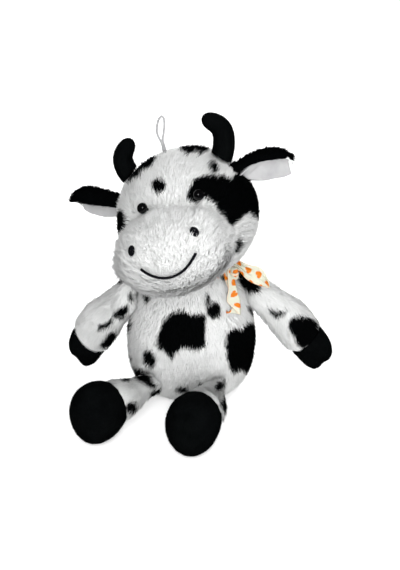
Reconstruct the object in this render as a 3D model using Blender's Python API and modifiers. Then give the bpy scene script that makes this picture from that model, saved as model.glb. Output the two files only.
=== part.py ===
# A sitting plush cow, about 27 cm tall to the crown and 32 cm to the horn tips.
# Fur and velour panels lie over stuffing cores. The limbs, ears, horns and tail are sewn in.
# Metres, +Z up. The cow faces -Y, its left side is +X, and the origin is the middle of its seat.

import math

import bmesh
import bpy
from mathutils import Matrix, Vector

# Cloths, each with the pile pressed flat, and the room between neighbours
FUR = 0.006
VELOUR = 0.0025
LINING = 0.0020
SATIN = 0.0008
SEAM_GAP = 0.0003
CORE_GAP = 0.0006
HOOF_CORE_GAP = 0.0015
SOCKET_GAP = 0.0005
OVERRUN = 0.010
TINY = 1e-6
HINGE_MARK = 0.010

# Body
TORSO_HEIGHT = 0.1605
TORSO_HALF_WIDTH = 0.0675
TORSO_HALF_DEPTH = 0.0580
SEAT_CUT = 0.0005
TORSO_SEGMENTS = 24
# (share of the height, share of the half width), from the seat up. Past 1 the head's seat cuts it away
TORSO_PROFILE_SHARES = (
    (0.0000, 0.00),
    (0.0020, 0.38),
    (0.0160, 0.60),
    (0.0500, 0.77),
    (0.1200, 0.91),
    (0.2300, 0.98),
    (0.3500, 1.00),
    (0.4800, 0.98),
    (0.6100, 0.915),
    (0.7300, 0.820),
    (0.8500, 0.675),
    (0.9300, 0.590),
    (1.0200, 0.550),
    (1.1200, 0.400),
    (1.1700, 0.00),
)
# The side seam leans forward on its way down, so the back panel carries the whole seat
SIDE_SEAM_TOP_SHARE = 0.10
SIDE_SEAM_BOTTOM_SHARE = -0.62

# Head, a round of its own axis, leaning to the cow's right and looking that way
HEAD_RADIUS = 0.0690
HEAD_HALF_HEIGHT = 0.0645
HEAD_SINK = 0.0230
HEAD_FORWARD = 0.0100
HEAD_SIDE = -0.0036
HEAD_TURN = math.radians(-16)
HEAD_LEAN = math.radians(-21)
HEAD_BACK = math.radians(8)
HEAD_SEGMENTS = 28
HEAD_RINGS = 12

# Muzzle
MUZZLE_HALF_WIDTH = 0.0570
MUZZLE_HALF_HEIGHT = 0.0420
MUZZLE_HALF_LENGTH = 0.0480
MUZZLE_FORWARD_SHARE = 0.86
MUZZLE_DROP_SHARE = 0.185
MUZZLE_MIDDLE_SHARE = -0.04
MUZZLE_SEGMENTS = 22
MUZZLE_RINGS = 8

# Eyes, nostrils and mouth
EYE_RADIUS = 0.0050
EYE_SINK = 0.0030
EYE_SIDE_SHARE = 0.36
EYE_MIDDLE_SHARE = 0.12
LEFT_EYE_UP_SHARE = 0.38
RIGHT_EYE_UP_SHARE = 0.43
SHANK_RADIUS = 0.0018
SHANK_PAST_WASHER = 0.0030
WASHER_RADIUS = 0.0065
WASHER_THICKNESS = 0.0015
WASHER_GAP = 0.0014
NOSTRIL_HALF_WIDTH = 0.0038
NOSTRIL_HALF_HEIGHT = 0.0046
NOSTRIL_THICKNESS = 0.0016
NOSTRIL_SINK = 0.0012
NOSTRIL_SIDE_SHARE = 0.50
NOSTRIL_MIDDLE_SHARE = 0.10
NOSTRIL_UP_SHARE = 0.44
MOUTH_HALF_WIDTH_SHARE = 0.47
MOUTH_MIDDLE_SHARE = 0.12
MOUTH_END_SHARE = 0.02
MOUTH_DIP_SHARE = 0.26
MOUTH_THREAD = 0.0018
MOUTH_POINTS = 15

# Horns: places in the head's own frame, as shares of its radius (side, forward, up), with widths
HORN_RADIUS = 0.0110
HORN_MIDDLE_SHARE = 0.09
LEFT_HORN_CURL_SHARE = 0.0
RIGHT_HORN_CURL_SHARE = 0.10
HORN_STATION_SHARES = (
    (0.560, 0.00, 0.540, 1.00),
    (0.670, 0.00, 0.700, 1.02),
    (0.735, 0.00, 0.850, 1.00),
    (0.745, 0.00, 0.980, 0.96),
    (0.700, 0.00, 1.070, 0.90),
    (0.620, 0.00, 1.135, 0.80),
    (0.560, 0.00, 1.162, 0.60),
    (0.525, 0.00, 1.172, 0.28),
)

# Ears: leaves that fold over at the top. The fold's front flap hangs lower on the cow's right
EAR_LENGTH = 0.0515
EAR_HALF_HEIGHT = 0.0170
EAR_HALF_DEPTH = 0.0100
EAR_SINK = 0.0080
EAR_HEM = 0.0030
EAR_LAYER_GAP = 0.0016
EAR_HINGE_OUT = 0.0015
EAR_UP_SHARE = 0.39
EAR_LOWER_EDGE = math.radians(-60)
LEFT_EAR_FLAP = math.radians(150)
RIGHT_EAR_FLAP = math.radians(168)
EAR_SWEEP = math.radians(20)
LEFT_EAR_ROLL = math.radians(5)
RIGHT_EAR_ROLL = math.radians(5)
LEFT_EAR_RISE = math.radians(-11)
RIGHT_EAR_RISE = math.radians(8)
EAR_COLUMNS = 7
EAR_ROWS = 9
# (share of the length, share of the half height)
EAR_OUTLINE_SHARES = (
    (0.0, 0.50),
    (0.14, 0.58),
    (0.30, 0.86),
    (0.5, 1.0),
    (0.75, 0.92),
    (0.92, 0.66),
    (1.0, 0.36),
)
EAR_LEAST_DEPTH_SHARE = 0.75

ROOT_ARC = math.radians(112)
ROOT_RINGS = 5

# Arms: (share of the length, share of the half width, share of the length drifting down)
ARM_LENGTH = 0.1120
ARM_HALF_WIDTH = 0.0245
ARM_HALF_DEPTH = 0.0190
ARM_ROOT_RADIUS = 0.0175
ARM_CUFF_SHARE = 0.66
ARM_SEGMENTS = 12
ARM_STATION_SHARES = (
    (0.26, 0.84, -0.004),
    (0.36, 0.96, -0.002),
    (0.48, 1.00, 0.008),
    (0.58, 1.00, 0.022),
    (0.64, 0.98, 0.030),
    (0.68, 0.86, 0.036),
    (0.76, 0.86, 0.050),
    (0.86, 0.80, 0.072),
    (0.94, 0.62, 0.092),
    (0.985, 0.34, 0.102),
)
SHOULDER_HEIGHT_SHARE = 0.665
SHOULDER_STANDOFF = 0.0070
LEFT_ARM_DROP = math.radians(41)
LEFT_ARM_FORWARD = math.radians(12)
RIGHT_ARM_DROP = math.radians(49)
RIGHT_ARM_FORWARD = math.radians(-33)
CLEFT_DEPTH = 0.0040
CLEFT_FROM_SHARE = 0.80

# Legs: the feet stand on the floor and are taller than the legs
LEG_LENGTH = 0.0880
LEG_HALF_WIDTH = 0.0225
LEG_HALF_HEIGHT = 0.0235
FOOT_HALF_WIDTH = 0.0262
FOOT_HALF_HEIGHT = 0.0325
LEG_ROOT_RADIUS = 0.0200
LEG_CUFF_SHARE = 0.47
LEG_SEGMENTS = 14
# (share of the length, share of the leg's or the foot's half width, share of its half height)
LEG_STATION_SHARES = (
    (0.19, 0.84, 0.82),
    (0.30, 0.96, 0.94),
    (0.40, 1.00, 1.00),
    (0.455, 0.98, 0.98),
)
FOOT_STATION_SHARES = (
    (0.490, 0.84, 0.78),
    (0.58, 0.95, 0.92),
    (0.68, 1.00, 1.00),
    (0.79, 0.97, 0.99),
    (0.89, 0.82, 0.86),
    (0.955, 0.60, 0.62),
    (0.99, 0.30, 0.32),
)
HIP_HEIGHT_SHARE = 0.20
LEFT_HIP_AZIMUTH = math.radians(21)
RIGHT_HIP_AZIMUTH = math.radians(47)
HIP_STANDOFF = 0.0060
LEFT_LEG_SPREAD = math.radians(-34)
RIGHT_LEG_SPREAD = math.radians(50)

# Ribbon: gathered to a narrow collar in the neck's crease, knotted on the cow's left, with two tails
RIBBON_WIDTH = 0.0160
COLLAR_WIDTH = 0.0090
COLLAR_THICKNESS = 0.0016
COLLAR_GAP = 0.0010
COLLAR_HEIGHT_SHARE = 0.865
COLLAR_FRONT_DROP_SHARE = 0.035
COLLAR_LEFT_RISE_SHARE = 0.020
KNOT_HALF_WIDTH = 0.0055
KNOT_HALF_HEIGHT = 0.0065
KNOT_HALF_DEPTH = 0.0060
KNOT_HEIGHT_SHARE = 0.903
KNOT_AZIMUTH = math.radians(54)
TAIL_STEPS = 10
TAIL_COLUMNS = 4
# (share of the torso's height, azimuth as a share of a half turn, standoff and width shares of the
# ribbon's own)
DOWN_TAIL_SHARES = (
    (0.868, 0.299, 0.55, 0.34),
    (0.820, 0.272, 0.38, 0.44),
    (0.775, 0.248, 0.34, 0.58),
    (0.730, 0.225, 0.32, 0.74),
    (0.690, 0.210, 0.30, 0.84),
    (0.662, 0.205, 0.30, 0.86),
)
SIDE_TAIL_SHARES = (
    (0.907, 0.3265, 0.81, 0.34),
    (0.918, 0.332, 1.06, 0.62),
    (0.922, 0.338, 1.40, 0.90),
    (0.899, 0.342, 1.68, 1.00),
    (0.869, 0.350, 1.94, 1.00),
    (0.836, 0.359, 2.08, 0.98),
)
DOWN_TAIL_SLANT_SHARE = 0.36
SIDE_TAIL_SLANT_SHARE = 0.20
SIDE_TAIL_SLOPE = math.radians(30)

# Tail
TAIL_LENGTH = 0.0540
TAIL_RADIUS = 0.0048
TAIL_ROOT_RADIUS = 0.0065
TUFT_RADIUS = 0.0095
TUFT_LENGTH = 0.0340
TAIL_HEIGHT_SHARE = 0.22
TAIL_STANDOFF = 0.0020
TAIL_HOVER = 0.0030
# (share of the length, share of the fall from the pivot to the tuft)
TAIL_ROUTE_SHARES = (
    (0.0, 0.0),
    (0.14, 0.05),
    (0.32, 0.42),
    (0.50, 0.80),
    (0.66, 0.97),
    (0.80, 1.0),
    (1.0, 1.0),
)

# Hang loop: its route from the crown, chosen by hand, side and up in millimetres times one unit
MM = 0.001
LOOP_DIAMETER = 1.8 * MM
LOOP_SIDE = -3.0 * MM
LOOP_ROUTE = (
    (-1.6 * MM, 0.0),
    (-1.5 * MM, 4.0 * MM),
    (-1.6 * MM, 9.0 * MM),
    (-3.0 * MM, 16.0 * MM),
    (-4.2 * MM, 23.0 * MM),
    (-3.2 * MM, 30.5 * MM),
    (0.0, 34.5 * MM),
    (3.1 * MM, 31.0 * MM),
    (4.0 * MM, 24.0 * MM),
    (2.8 * MM, 16.0 * MM),
    (1.6 * MM, 9.0 * MM),
    (1.5 * MM, 4.0 * MM),
    (1.6 * MM, 0.0),
)

FUR_COLOUR = (0.78, 0.79, 0.77, 1)
BLACK_VELOUR_COLOUR = (0.006, 0.007, 0.008, 1)
STUFFING_COLOUR = (0.85, 0.85, 0.82, 1)
PLASTIC_COLOUR = (0.01, 0.01, 0.01, 1)
CLEAR_PLASTIC_COLOUR = (0.7, 0.7, 0.68, 1)
LINING_COLOUR = (0.75, 0.75, 0.73, 1)
SATIN_COLOUR = (0.78, 0.76, 0.62, 1)
THREAD_COLOUR = (0.01, 0.01, 0.012, 1)
CORD_COLOUR = (0.75, 0.75, 0.75, 1)


def clear_scene():
    for thing in list(bpy.data.objects):
        bpy.data.objects.remove(thing, do_unlink=True)


def new_collection(name):
    collection = bpy.data.collections.new(name)
    bpy.context.scene.collection.children.link(collection)
    return collection


clear_scene()
PARTS = new_collection("plush_cow")
CUTTERS = new_collection("cutters")


def material(name, colour, roughness):
    made = bpy.data.materials.new(name)
    made.use_nodes = True
    shader = made.node_tree.nodes["Principled BSDF"]
    shader.inputs["Base Color"].default_value = colour
    shader.inputs["Roughness"].default_value = roughness
    shader.inputs["Metallic"].default_value = 0.0
    made.diffuse_color = colour
    return made


WHITE_FUR = material("white_fur", FUR_COLOUR, 0.95)
BLACK_VELOUR = material("black_velour", BLACK_VELOUR_COLOUR, 0.9)
STUFFING = material("stuffing", STUFFING_COLOUR, 1.0)
EYE_PLASTIC = material("eye_plastic", PLASTIC_COLOUR, 0.12)
WASHER_PLASTIC = material("washer_plastic", CLEAR_PLASTIC_COLOUR, 0.5)
EAR_LINING = material("ear_lining", LINING_COLOUR, 0.9)
RIBBON = material("ribbon_satin", SATIN_COLOUR, 0.45)
THREAD = material("black_thread", THREAD_COLOUR, 0.7)
LOOP_CORD = material("loop_cord", CORD_COLOUR, 0.6)


def add_mesh_object(name, bm, frame=None, cloth=None):
    """Puts a bmesh in the scene: a piece if it has a cloth, and otherwise a cutter."""
    bmesh.ops.recalc_face_normals(bm, faces=bm.faces)
    mesh = bpy.data.meshes.new(name)
    bm.to_mesh(mesh)
    bm.free()
    thing = bpy.data.objects.new(name, mesh)
    if frame is not None:
        thing.matrix_world = frame
    if cloth is None:
        CUTTERS.objects.link(thing)
        thing.hide_render = True
        thing.display_type = "WIRE"
    else:
        PARTS.objects.link(thing)
        mesh.materials.append(cloth)
        mesh.shade_smooth()
    return thing


def cut(piece, cutter, operation="DIFFERENCE"):
    modifier = piece.modifiers.new(cutter.name, "BOOLEAN")
    modifier.operation = operation
    modifier.object = cutter
    modifier.solver = "EXACT"


def ring_form(name, stations, segments, frame=None, cloth=None, shape=None):
    """A closed form: a unit sphere with its poles and rings moved to the stations.

    A station is (place along the axis, half width, half depth, drift to the side).
    """
    last = len(stations) - 1
    bm = bmesh.new()
    bmesh.ops.create_uvsphere(bm, u_segments=segments, v_segments=last, radius=1)
    for vertex in bm.verts:
        height = max(-1, min(1, vertex.co.z))
        along, half_width, half_depth, drift = stations[round((1 - math.acos(height) / math.pi) * last)]
        flat = Vector((vertex.co.x, vertex.co.y))
        if flat.length > TINY:
            flat.normalize()
        vertex.co = Vector((drift + half_width * flat.x, half_depth * flat.y, along))
        if shape is not None:
            vertex.co = shape(vertex.co)
    return add_mesh_object(name, bm, frame, cloth)


def inset(stations, depths):
    """The same stations moved in, square to the profile, by one depth or by one for each."""
    if not isinstance(depths, list):
        depths = [depths] * len(stations)
    moved = []
    for index, ((along, width, depth, drift), wall) in enumerate(zip(stations, depths)):
        before = stations[max(index - 1, 0)]
        after = stations[min(index + 1, len(stations) - 1)]
        rise = after[0] - before[0]
        spread = after[1] - before[1]
        slope = math.hypot(rise, spread)
        if index in (0, len(stations) - 1):
            moved.append((along + wall * math.copysign(1, spread), 0.0, 0.0, drift))
            continue
        in_along = wall * spread / slope
        in_across = wall * rise / slope
        moved.append((along + in_along, width - in_across, depth - in_across, drift))
    return moved


def round_stations(radius, half_length, rings, half_depth=None):
    """Stations of an ellipsoid about its own middle."""
    angles = [math.pi * ring / rings for ring in range(rings + 1)]
    return [
        (
            -half_length * math.cos(angle),
            radius * math.sin(angle),
            (half_depth or radius) * math.sin(angle),
            0.0,
        )
        for angle in angles
    ]


def ball(name, radius, place, axis=Vector((0, 0, 1)), segments=24, cloth=None):
    """A sphere whose poles lie on the axis that its piece turns about."""
    frame = Matrix.Translation(place) @ axis.to_track_quat("Z", "Y").to_matrix().to_4x4()
    return ring_form(name, round_stations(radius, radius, segments // 2), segments, frame, cloth)


def half_space(name, point, normal, reach):
    """A box that fills what lies beyond a plane."""
    bm = bmesh.new()
    bmesh.ops.create_cube(bm, size=2 * reach)
    turn = normal.to_track_quat("Z", "Y").to_matrix().to_4x4()
    return add_mesh_object(name, bm, Matrix.Translation(point + normal.normalized() * reach) @ turn)


def rod(name, radius, start, end, segments, cloth=None):
    bm = bmesh.new()
    length = (end - start).length
    bmesh.ops.create_cone(bm, cap_ends=True, segments=segments, radius1=radius, radius2=radius, depth=length)
    turn = (end - start).to_track_quat("Z", "Y").to_matrix().to_4x4()
    return add_mesh_object(name, bm, Matrix.Translation((start + end) / 2) @ turn, cloth)


def smooth_route(points, steps):
    """Points read from a smooth curve through the given ones."""
    ends = [points[0] * 2 - points[1]] + list(points) + [points[-1] * 2 - points[-2]]
    route = []
    for a, b, c, d in zip(ends, ends[1:], ends[2:], ends[3:]):
        for step in range(steps):
            t = step / steps
            route.append(
                b + (c - a) * t / 2
                + (a * 2 - b * 5 + c * 4 - d) * t**2 / 2
                + (b * 3 - a - c * 3 + d) * t**3 / 2
            )
    return route + [points[-1]]


def tube(name, points, radius, shares=None, resolution=2):
    """A curve with a round bevel and filled caps."""
    curve = bpy.data.curves.new(name, "CURVE")
    curve.dimensions = "3D"
    curve.bevel_depth = radius
    curve.bevel_resolution = resolution
    curve.use_fill_caps = True
    spline = curve.splines.new("POLY")
    spline.points.add(len(points) - 1)
    for index, point in enumerate(points):
        spline.points[index].co = (*point, 1)
        spline.points[index].radius = shares[index] if shares else 1
    return bpy.data.objects.new(name, curve)


def tube_mesh(name, points, radius, shares, resolution, cloth):
    """The same tube as a closed mesh, which a Boolean can cut."""
    source = tube(name + "_curve", points, radius, shares, resolution)
    bpy.context.scene.collection.objects.link(source)
    depsgraph = bpy.context.evaluated_depsgraph_get()
    mesh = bpy.data.meshes.new_from_object(source.evaluated_get(depsgraph))
    bpy.data.objects.remove(source, do_unlink=True)
    bm = bmesh.new()
    bm.from_mesh(mesh)
    bmesh.ops.remove_doubles(bm, verts=bm.verts, dist=TINY)
    bpy.data.meshes.remove(mesh)
    return add_mesh_object(name, bm, cloth=cloth)


# Body

TORSO_STATIONS = [
    (height * TORSO_HEIGHT - SEAT_CUT, width * TORSO_HALF_WIDTH, width * TORSO_HALF_DEPTH, 0.0)
    for height, width in TORSO_PROFILE_SHARES
]


def torso_share_at(height_share):
    """The torso's width there, as a share of its widest."""
    for (low, before), (high, after) in zip(TORSO_PROFILE_SHARES, TORSO_PROFILE_SHARES[1:]):
        if low <= height_share <= high:
            return before + (after - before) * (height_share - low) / (high - low)
    return 0.0


def torso_point(height_share, azimuth, standoff=0.0):
    """A point on the torso's skin. Azimuth runs from the front to the cow's left."""
    width = torso_share_at(height_share)
    out = Vector((math.sin(azimuth) / TORSO_HALF_WIDTH, -math.cos(azimuth) / TORSO_HALF_DEPTH, 0))
    out.normalize()
    return Vector(
        (
            width * TORSO_HALF_WIDTH * math.sin(azimuth) + out.x * standoff,
            -width * TORSO_HALF_DEPTH * math.cos(azimuth) + out.y * standoff,
            height_share * TORSO_HEIGHT - SEAT_CUT,
        )
    )


HEAD_CENTRE = Vector((HEAD_SIDE, -HEAD_FORWARD, TORSO_HEIGHT + HEAD_HALF_HEIGHT - HEAD_SINK))
HEAD_FRAME = (
    Matrix.Translation(HEAD_CENTRE)
    @ Matrix.Rotation(HEAD_TURN, 4, "Z")
    @ Matrix.Rotation(HEAD_LEAN, 4, "Y")
    @ Matrix.Rotation(-HEAD_BACK, 4, "X")
)
HEAD_STATIONS = round_stations(HEAD_RADIUS, HEAD_HALF_HEIGHT, HEAD_RINGS)

LEFT = {
    "name": "left",
    "sign": 1,
    "shoulder": torso_point(SHOULDER_HEIGHT_SHARE, math.pi / 2, SHOULDER_STANDOFF),
    "arm_drop": LEFT_ARM_DROP,
    "arm_forward": LEFT_ARM_FORWARD,
    "hip": torso_point(HIP_HEIGHT_SHARE, LEFT_HIP_AZIMUTH, HIP_STANDOFF),
    "leg_spread": LEFT_LEG_SPREAD,
    "ear_rise": LEFT_EAR_RISE,
    "ear_roll": LEFT_EAR_ROLL,
    "ear_flap": LEFT_EAR_FLAP,
    "eye_up_share": LEFT_EYE_UP_SHARE,
    "horn_curl_share": LEFT_HORN_CURL_SHARE,
}
RIGHT = {
    "name": "right",
    "sign": -1,
    "shoulder": torso_point(SHOULDER_HEIGHT_SHARE, -math.pi / 2, SHOULDER_STANDOFF),
    "arm_drop": RIGHT_ARM_DROP,
    "arm_forward": RIGHT_ARM_FORWARD,
    "hip": torso_point(HIP_HEIGHT_SHARE, -RIGHT_HIP_AZIMUTH, HIP_STANDOFF),
    "leg_spread": RIGHT_LEG_SPREAD,
    "ear_rise": RIGHT_EAR_RISE,
    "ear_roll": RIGHT_EAR_ROLL,
    "ear_flap": RIGHT_EAR_FLAP,
    "eye_up_share": RIGHT_EYE_UP_SHARE,
    "horn_curl_share": RIGHT_HORN_CURL_SHARE,
}
SIDES = (LEFT, RIGHT)
TAIL_PIVOT = torso_point(TAIL_HEIGHT_SHARE, math.pi, TAIL_STANDOFF)

inner_torso = ring_form("inner_torso", inset(TORSO_STATIONS, FUR), TORSO_SEGMENTS)
neck_seat = ring_form("neck_seat", inset(HEAD_STATIONS, -SOCKET_GAP), HEAD_SEGMENTS, HEAD_FRAME)
floor = half_space("floor", Vector((0, 0, 0)), Vector((0, 0, -1)), TORSO_HEIGHT + OVERRUN)
shoulder_sockets = [
    ball(
        f"{side['name']}_shoulder_socket",
        ARM_ROOT_RADIUS + SOCKET_GAP,
        side["shoulder"],
        Vector((0, 1, 0)),
    )
    for side in SIDES
]
hip_sockets = [
    ball(f"{side['name']}_hip_socket", LEG_ROOT_RADIUS + SOCKET_GAP, side["hip"])
    for side in SIDES
]
tail_socket = ball("tail_socket", TAIL_ROOT_RADIUS + SOCKET_GAP, TAIL_PIVOT, segments=16)
TORSO_SOCKETS = [neck_seat, *shoulder_sockets, *hip_sockets, tail_socket]

SEAM_TOP = Vector((0, SIDE_SEAM_TOP_SHARE * TORSO_HALF_DEPTH, TORSO_HEIGHT))
SEAM_BOTTOM = Vector((0, SIDE_SEAM_BOTTOM_SHARE * TORSO_HALF_DEPTH, 0))
SEAM_RUN = SEAM_TOP - SEAM_BOTTOM
SEAM_NORMAL = Vector((0, SEAM_RUN.z, -SEAM_RUN.y)).normalized()
SEAM_REACH = 2 * TORSO_HEIGHT
behind_seam = half_space("behind_seam", SEAM_BOTTOM - SEAM_NORMAL * SEAM_GAP / 2, SEAM_NORMAL, SEAM_REACH)
before_seam = half_space("before_seam", SEAM_BOTTOM + SEAM_NORMAL * SEAM_GAP / 2, -SEAM_NORMAL, SEAM_REACH)
left_of_middle = half_space("left_of_middle", Vector((-SEAM_GAP / 2, 0, 0)), Vector((1, 0, 0)), SEAM_REACH)
right_of_middle = half_space("right_of_middle", Vector((SEAM_GAP / 2, 0, 0)), Vector((-1, 0, 0)), SEAM_REACH)


def torso_panel(name, seams):
    panel = ring_form(name, TORSO_STATIONS, TORSO_SEGMENTS, cloth=WHITE_FUR)
    for cutter in (inner_torso, floor, *TORSO_SOCKETS, *seams):
        cut(panel, cutter)


torso_panel("torso_front_left_panel", (behind_seam, right_of_middle))
torso_panel("torso_front_right_panel", (behind_seam, left_of_middle))
torso_panel("torso_back_panel", (before_seam,))
torso_core = ring_form(
    "torso_stuffing", inset(TORSO_STATIONS, FUR + CORE_GAP), TORSO_SEGMENTS, cloth=STUFFING
)
for socket in TORSO_SOCKETS:
    cut(torso_core, socket)


# Head and face


def head_point(side, forward, up):
    """A place in the head's own frame, side to the cow's left, in world coordinates."""
    return HEAD_FRAME @ Vector((side, -forward, up))


def head_direction(side, forward, up):
    return (HEAD_FRAME.to_3x3() @ Vector((side, -forward, up))).normalized()


def skull_point(side, up):
    """A place on the front of the cranium, and the direction out of it, in the head's frame."""
    forward = HEAD_RADIUS * math.sqrt(1 - (side / HEAD_RADIUS) ** 2 - (up / HEAD_HALF_HEIGHT) ** 2)
    outward = Vector((side / HEAD_RADIUS**2, forward / HEAD_RADIUS**2, up / HEAD_HALF_HEIGHT**2))
    return Vector((side, forward, up)), outward.normalized()


MUZZLE_FORWARD = MUZZLE_FORWARD_SHARE * HEAD_RADIUS
MUZZLE_DROP = MUZZLE_DROP_SHARE * HEAD_RADIUS
MUZZLE_MIDDLE = MUZZLE_MIDDLE_SHARE * HEAD_RADIUS
MUZZLE_STATIONS = round_stations(MUZZLE_HALF_WIDTH, MUZZLE_HALF_LENGTH, MUZZLE_RINGS, MUZZLE_HALF_HEIGHT)
# The muzzle's axis runs forward: its width stays across the face and its depth turns upright
MUZZLE_FRAME = (
    HEAD_FRAME
    @ Matrix.Translation((MUZZLE_MIDDLE, -MUZZLE_FORWARD, -MUZZLE_DROP))
    @ Matrix.Rotation(math.pi / 2, 4, "X")
)


def muzzle_point(side, up):
    """A place on the muzzle's front, from its middle, and the direction out of it, in the head's frame."""
    forward = MUZZLE_HALF_LENGTH * math.sqrt(
        1 - (side / MUZZLE_HALF_WIDTH) ** 2 - (up / MUZZLE_HALF_HEIGHT) ** 2
    )
    outward = Vector(
        (side / MUZZLE_HALF_WIDTH**2, forward / MUZZLE_HALF_LENGTH**2, up / MUZZLE_HALF_HEIGHT**2)
    ).normalized()
    return Vector((side + MUZZLE_MIDDLE, MUZZLE_FORWARD + forward, up - MUZZLE_DROP)), outward


inner_head = ring_form("inner_head", inset(HEAD_STATIONS, FUR), HEAD_SEGMENTS, HEAD_FRAME)
head_reach = 2 * HEAD_RADIUS
FORWARD = head_direction(0, 1, 0)
ahead_of_seam = half_space("ahead_of_seam", HEAD_CENTRE - FORWARD * SEAM_GAP / 2, FORWARD, head_reach)
aback_of_seam = half_space("aback_of_seam", HEAD_CENTRE + FORWARD * SEAM_GAP / 2, -FORWARD, head_reach)

front_panel = ring_form("head_front_panel", HEAD_STATIONS, HEAD_SEGMENTS, HEAD_FRAME, WHITE_FUR)
back_panel = ring_form("head_back_panel", HEAD_STATIONS, HEAD_SEGMENTS, HEAD_FRAME, WHITE_FUR)
head_core = ring_form(
    "head_stuffing", inset(HEAD_STATIONS, FUR + CORE_GAP), HEAD_SEGMENTS, HEAD_FRAME, STUFFING
)
cut(front_panel, inner_head)
cut(front_panel, aback_of_seam)
cut(back_panel, inner_head)
cut(back_panel, ahead_of_seam)

skull = ring_form("skull", inset(HEAD_STATIONS, -SEAM_GAP), HEAD_SEGMENTS, HEAD_FRAME)
inner_muzzle = ring_form("inner_muzzle", inset(MUZZLE_STATIONS, FUR), MUZZLE_SEGMENTS, MUZZLE_FRAME)
muzzle_panel = ring_form("muzzle_panel", MUZZLE_STATIONS, MUZZLE_SEGMENTS, MUZZLE_FRAME, WHITE_FUR)
cut(muzzle_panel, inner_muzzle)
cut(muzzle_panel, skull)
muzzle_core = ring_form(
    "muzzle_stuffing", inset(MUZZLE_STATIONS, FUR + CORE_GAP), MUZZLE_SEGMENTS, MUZZLE_FRAME, STUFFING
)
cut(muzzle_core, skull)


def eye(side):
    """A plastic eye: a ball in the fur, a shank through it, and a washer locked on inside."""
    name = side["name"]
    place, outward = skull_point(
        (EYE_MIDDLE_SHARE + side["sign"] * EYE_SIDE_SHARE) * HEAD_RADIUS, side["eye_up_share"] * HEAD_RADIUS
    )
    out = head_direction(*outward)
    skin = head_point(*place)
    centre = skin + out * (EYE_RADIUS - EYE_SINK)
    back_of_skin = skin - out * FUR
    washer_top = back_of_skin - out * WASHER_GAP
    washer_foot = washer_top - out * WASHER_THICKNESS
    shank_end = washer_foot - out * SHANK_PAST_WASHER
    made = ball(f"eye_{name}", EYE_RADIUS, centre, out, 16, EYE_PLASTIC)
    cut(made, rod(f"{name}_shank", SHANK_RADIUS, centre, shank_end, 12), "UNION")
    washer = rod(f"eye_washer_{name}", WASHER_RADIUS, washer_top, washer_foot, 20, WASHER_PLASTIC)
    bore = rod(f"{name}_washer_bore", SHANK_RADIUS + SEAM_GAP, centre, shank_end - out * SEAM_GAP, 12)
    dimple = ball(f"{name}_eye_dimple", EYE_RADIUS + SEAM_GAP, centre, out, 16)
    recess = rod(
        f"{name}_washer_recess", WASHER_RADIUS + SEAM_GAP, skin, washer_foot - out * SEAM_GAP, 20
    )
    cut(washer, bore)
    cut(front_panel, dimple)
    cut(front_panel, bore)
    cut(muzzle_panel, dimple)
    cut(muzzle_core, dimple)
    cut(head_core, bore)
    cut(head_core, recess)


def nostril(side):
    place, outward = muzzle_point(
        (NOSTRIL_MIDDLE_SHARE + side["sign"] * NOSTRIL_SIDE_SHARE) * MUZZLE_HALF_WIDTH,
        NOSTRIL_UP_SHARE * MUZZLE_HALF_HEIGHT,
    )
    out = head_direction(*outward)
    centre = head_point(*place) + out * (NOSTRIL_THICKNESS / 2 - NOSTRIL_SINK)
    frame = Matrix.Translation(centre) @ out.to_track_quat("Z", "Y").to_matrix().to_4x4()
    stations = round_stations(NOSTRIL_HALF_WIDTH, NOSTRIL_THICKNESS / 2, 6, NOSTRIL_HALF_HEIGHT)
    ring_form(f"nostril_{side['name']}", stations, 12, frame, THREAD)
    bed = ring_form(f"{side['name']}_nostril_bed", inset(stations, -SEAM_GAP), 12, frame)
    cut(muzzle_panel, bed)


def mouth():
    """One line of thick thread along a smile on the muzzle."""
    points = []
    for index in range(MOUTH_POINTS):
        across = 2 * index / (MOUTH_POINTS - 1) - 1
        height = MOUTH_END_SHARE - MOUTH_DIP_SHARE * (1 - across**2)
        place, outward = muzzle_point(
            (MOUTH_MIDDLE_SHARE + across * MOUTH_HALF_WIDTH_SHARE) * MUZZLE_HALF_WIDTH,
            height * MUZZLE_HALF_HEIGHT,
        )
        points.append(head_point(*(place + outward * (MOUTH_THREAD / 2 + SEAM_GAP))))
    stitching = tube("mouth_stitching", points, MOUTH_THREAD / 2)
    stitching.data.materials.append(THREAD)
    PARTS.objects.link(stitching)


for side in SIDES:
    eye(side)
    nostril(side)
mouth()


def horn(side):
    """A stuffed velour tube that curves in to a round tip, sewn to the head's seam."""
    foot = HORN_STATION_SHARES[0][2]
    points = []
    for across, forward, up, _ in HORN_STATION_SHARES:
        inward = side["horn_curl_share"] * (up - foot)
        out = HORN_MIDDLE_SHARE + side["sign"] * (across - inward)
        points.append(head_point(out * HEAD_RADIUS, forward * HEAD_RADIUS, up * HEAD_RADIUS))
    shares = [Vector((share, 0)) for *_, share in HORN_STATION_SHARES]
    made = tube_mesh(
        f"horn_{side['name']}",
        smooth_route(points, 2),
        HORN_RADIUS,
        [share.x for share in smooth_route(shares, 2)],
        2,
        BLACK_VELOUR,
    )
    cut(made, skull)


for side in SIDES:
    horn(side)


def outline_share(along):
    for (low, before), (high, after) in zip(EAR_OUTLINE_SHARES, EAR_OUTLINE_SHARES[1:]):
        if low <= along <= high:
            return before + (after - before) * (along - low) / (high - low)
    return EAR_OUTLINE_SHARES[-1][1]


EAR_HINGE_FORWARD = EAR_HALF_DEPTH * EAR_LEAST_DEPTH_SHARE + VELOUR / 2 + SEAM_GAP


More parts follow.
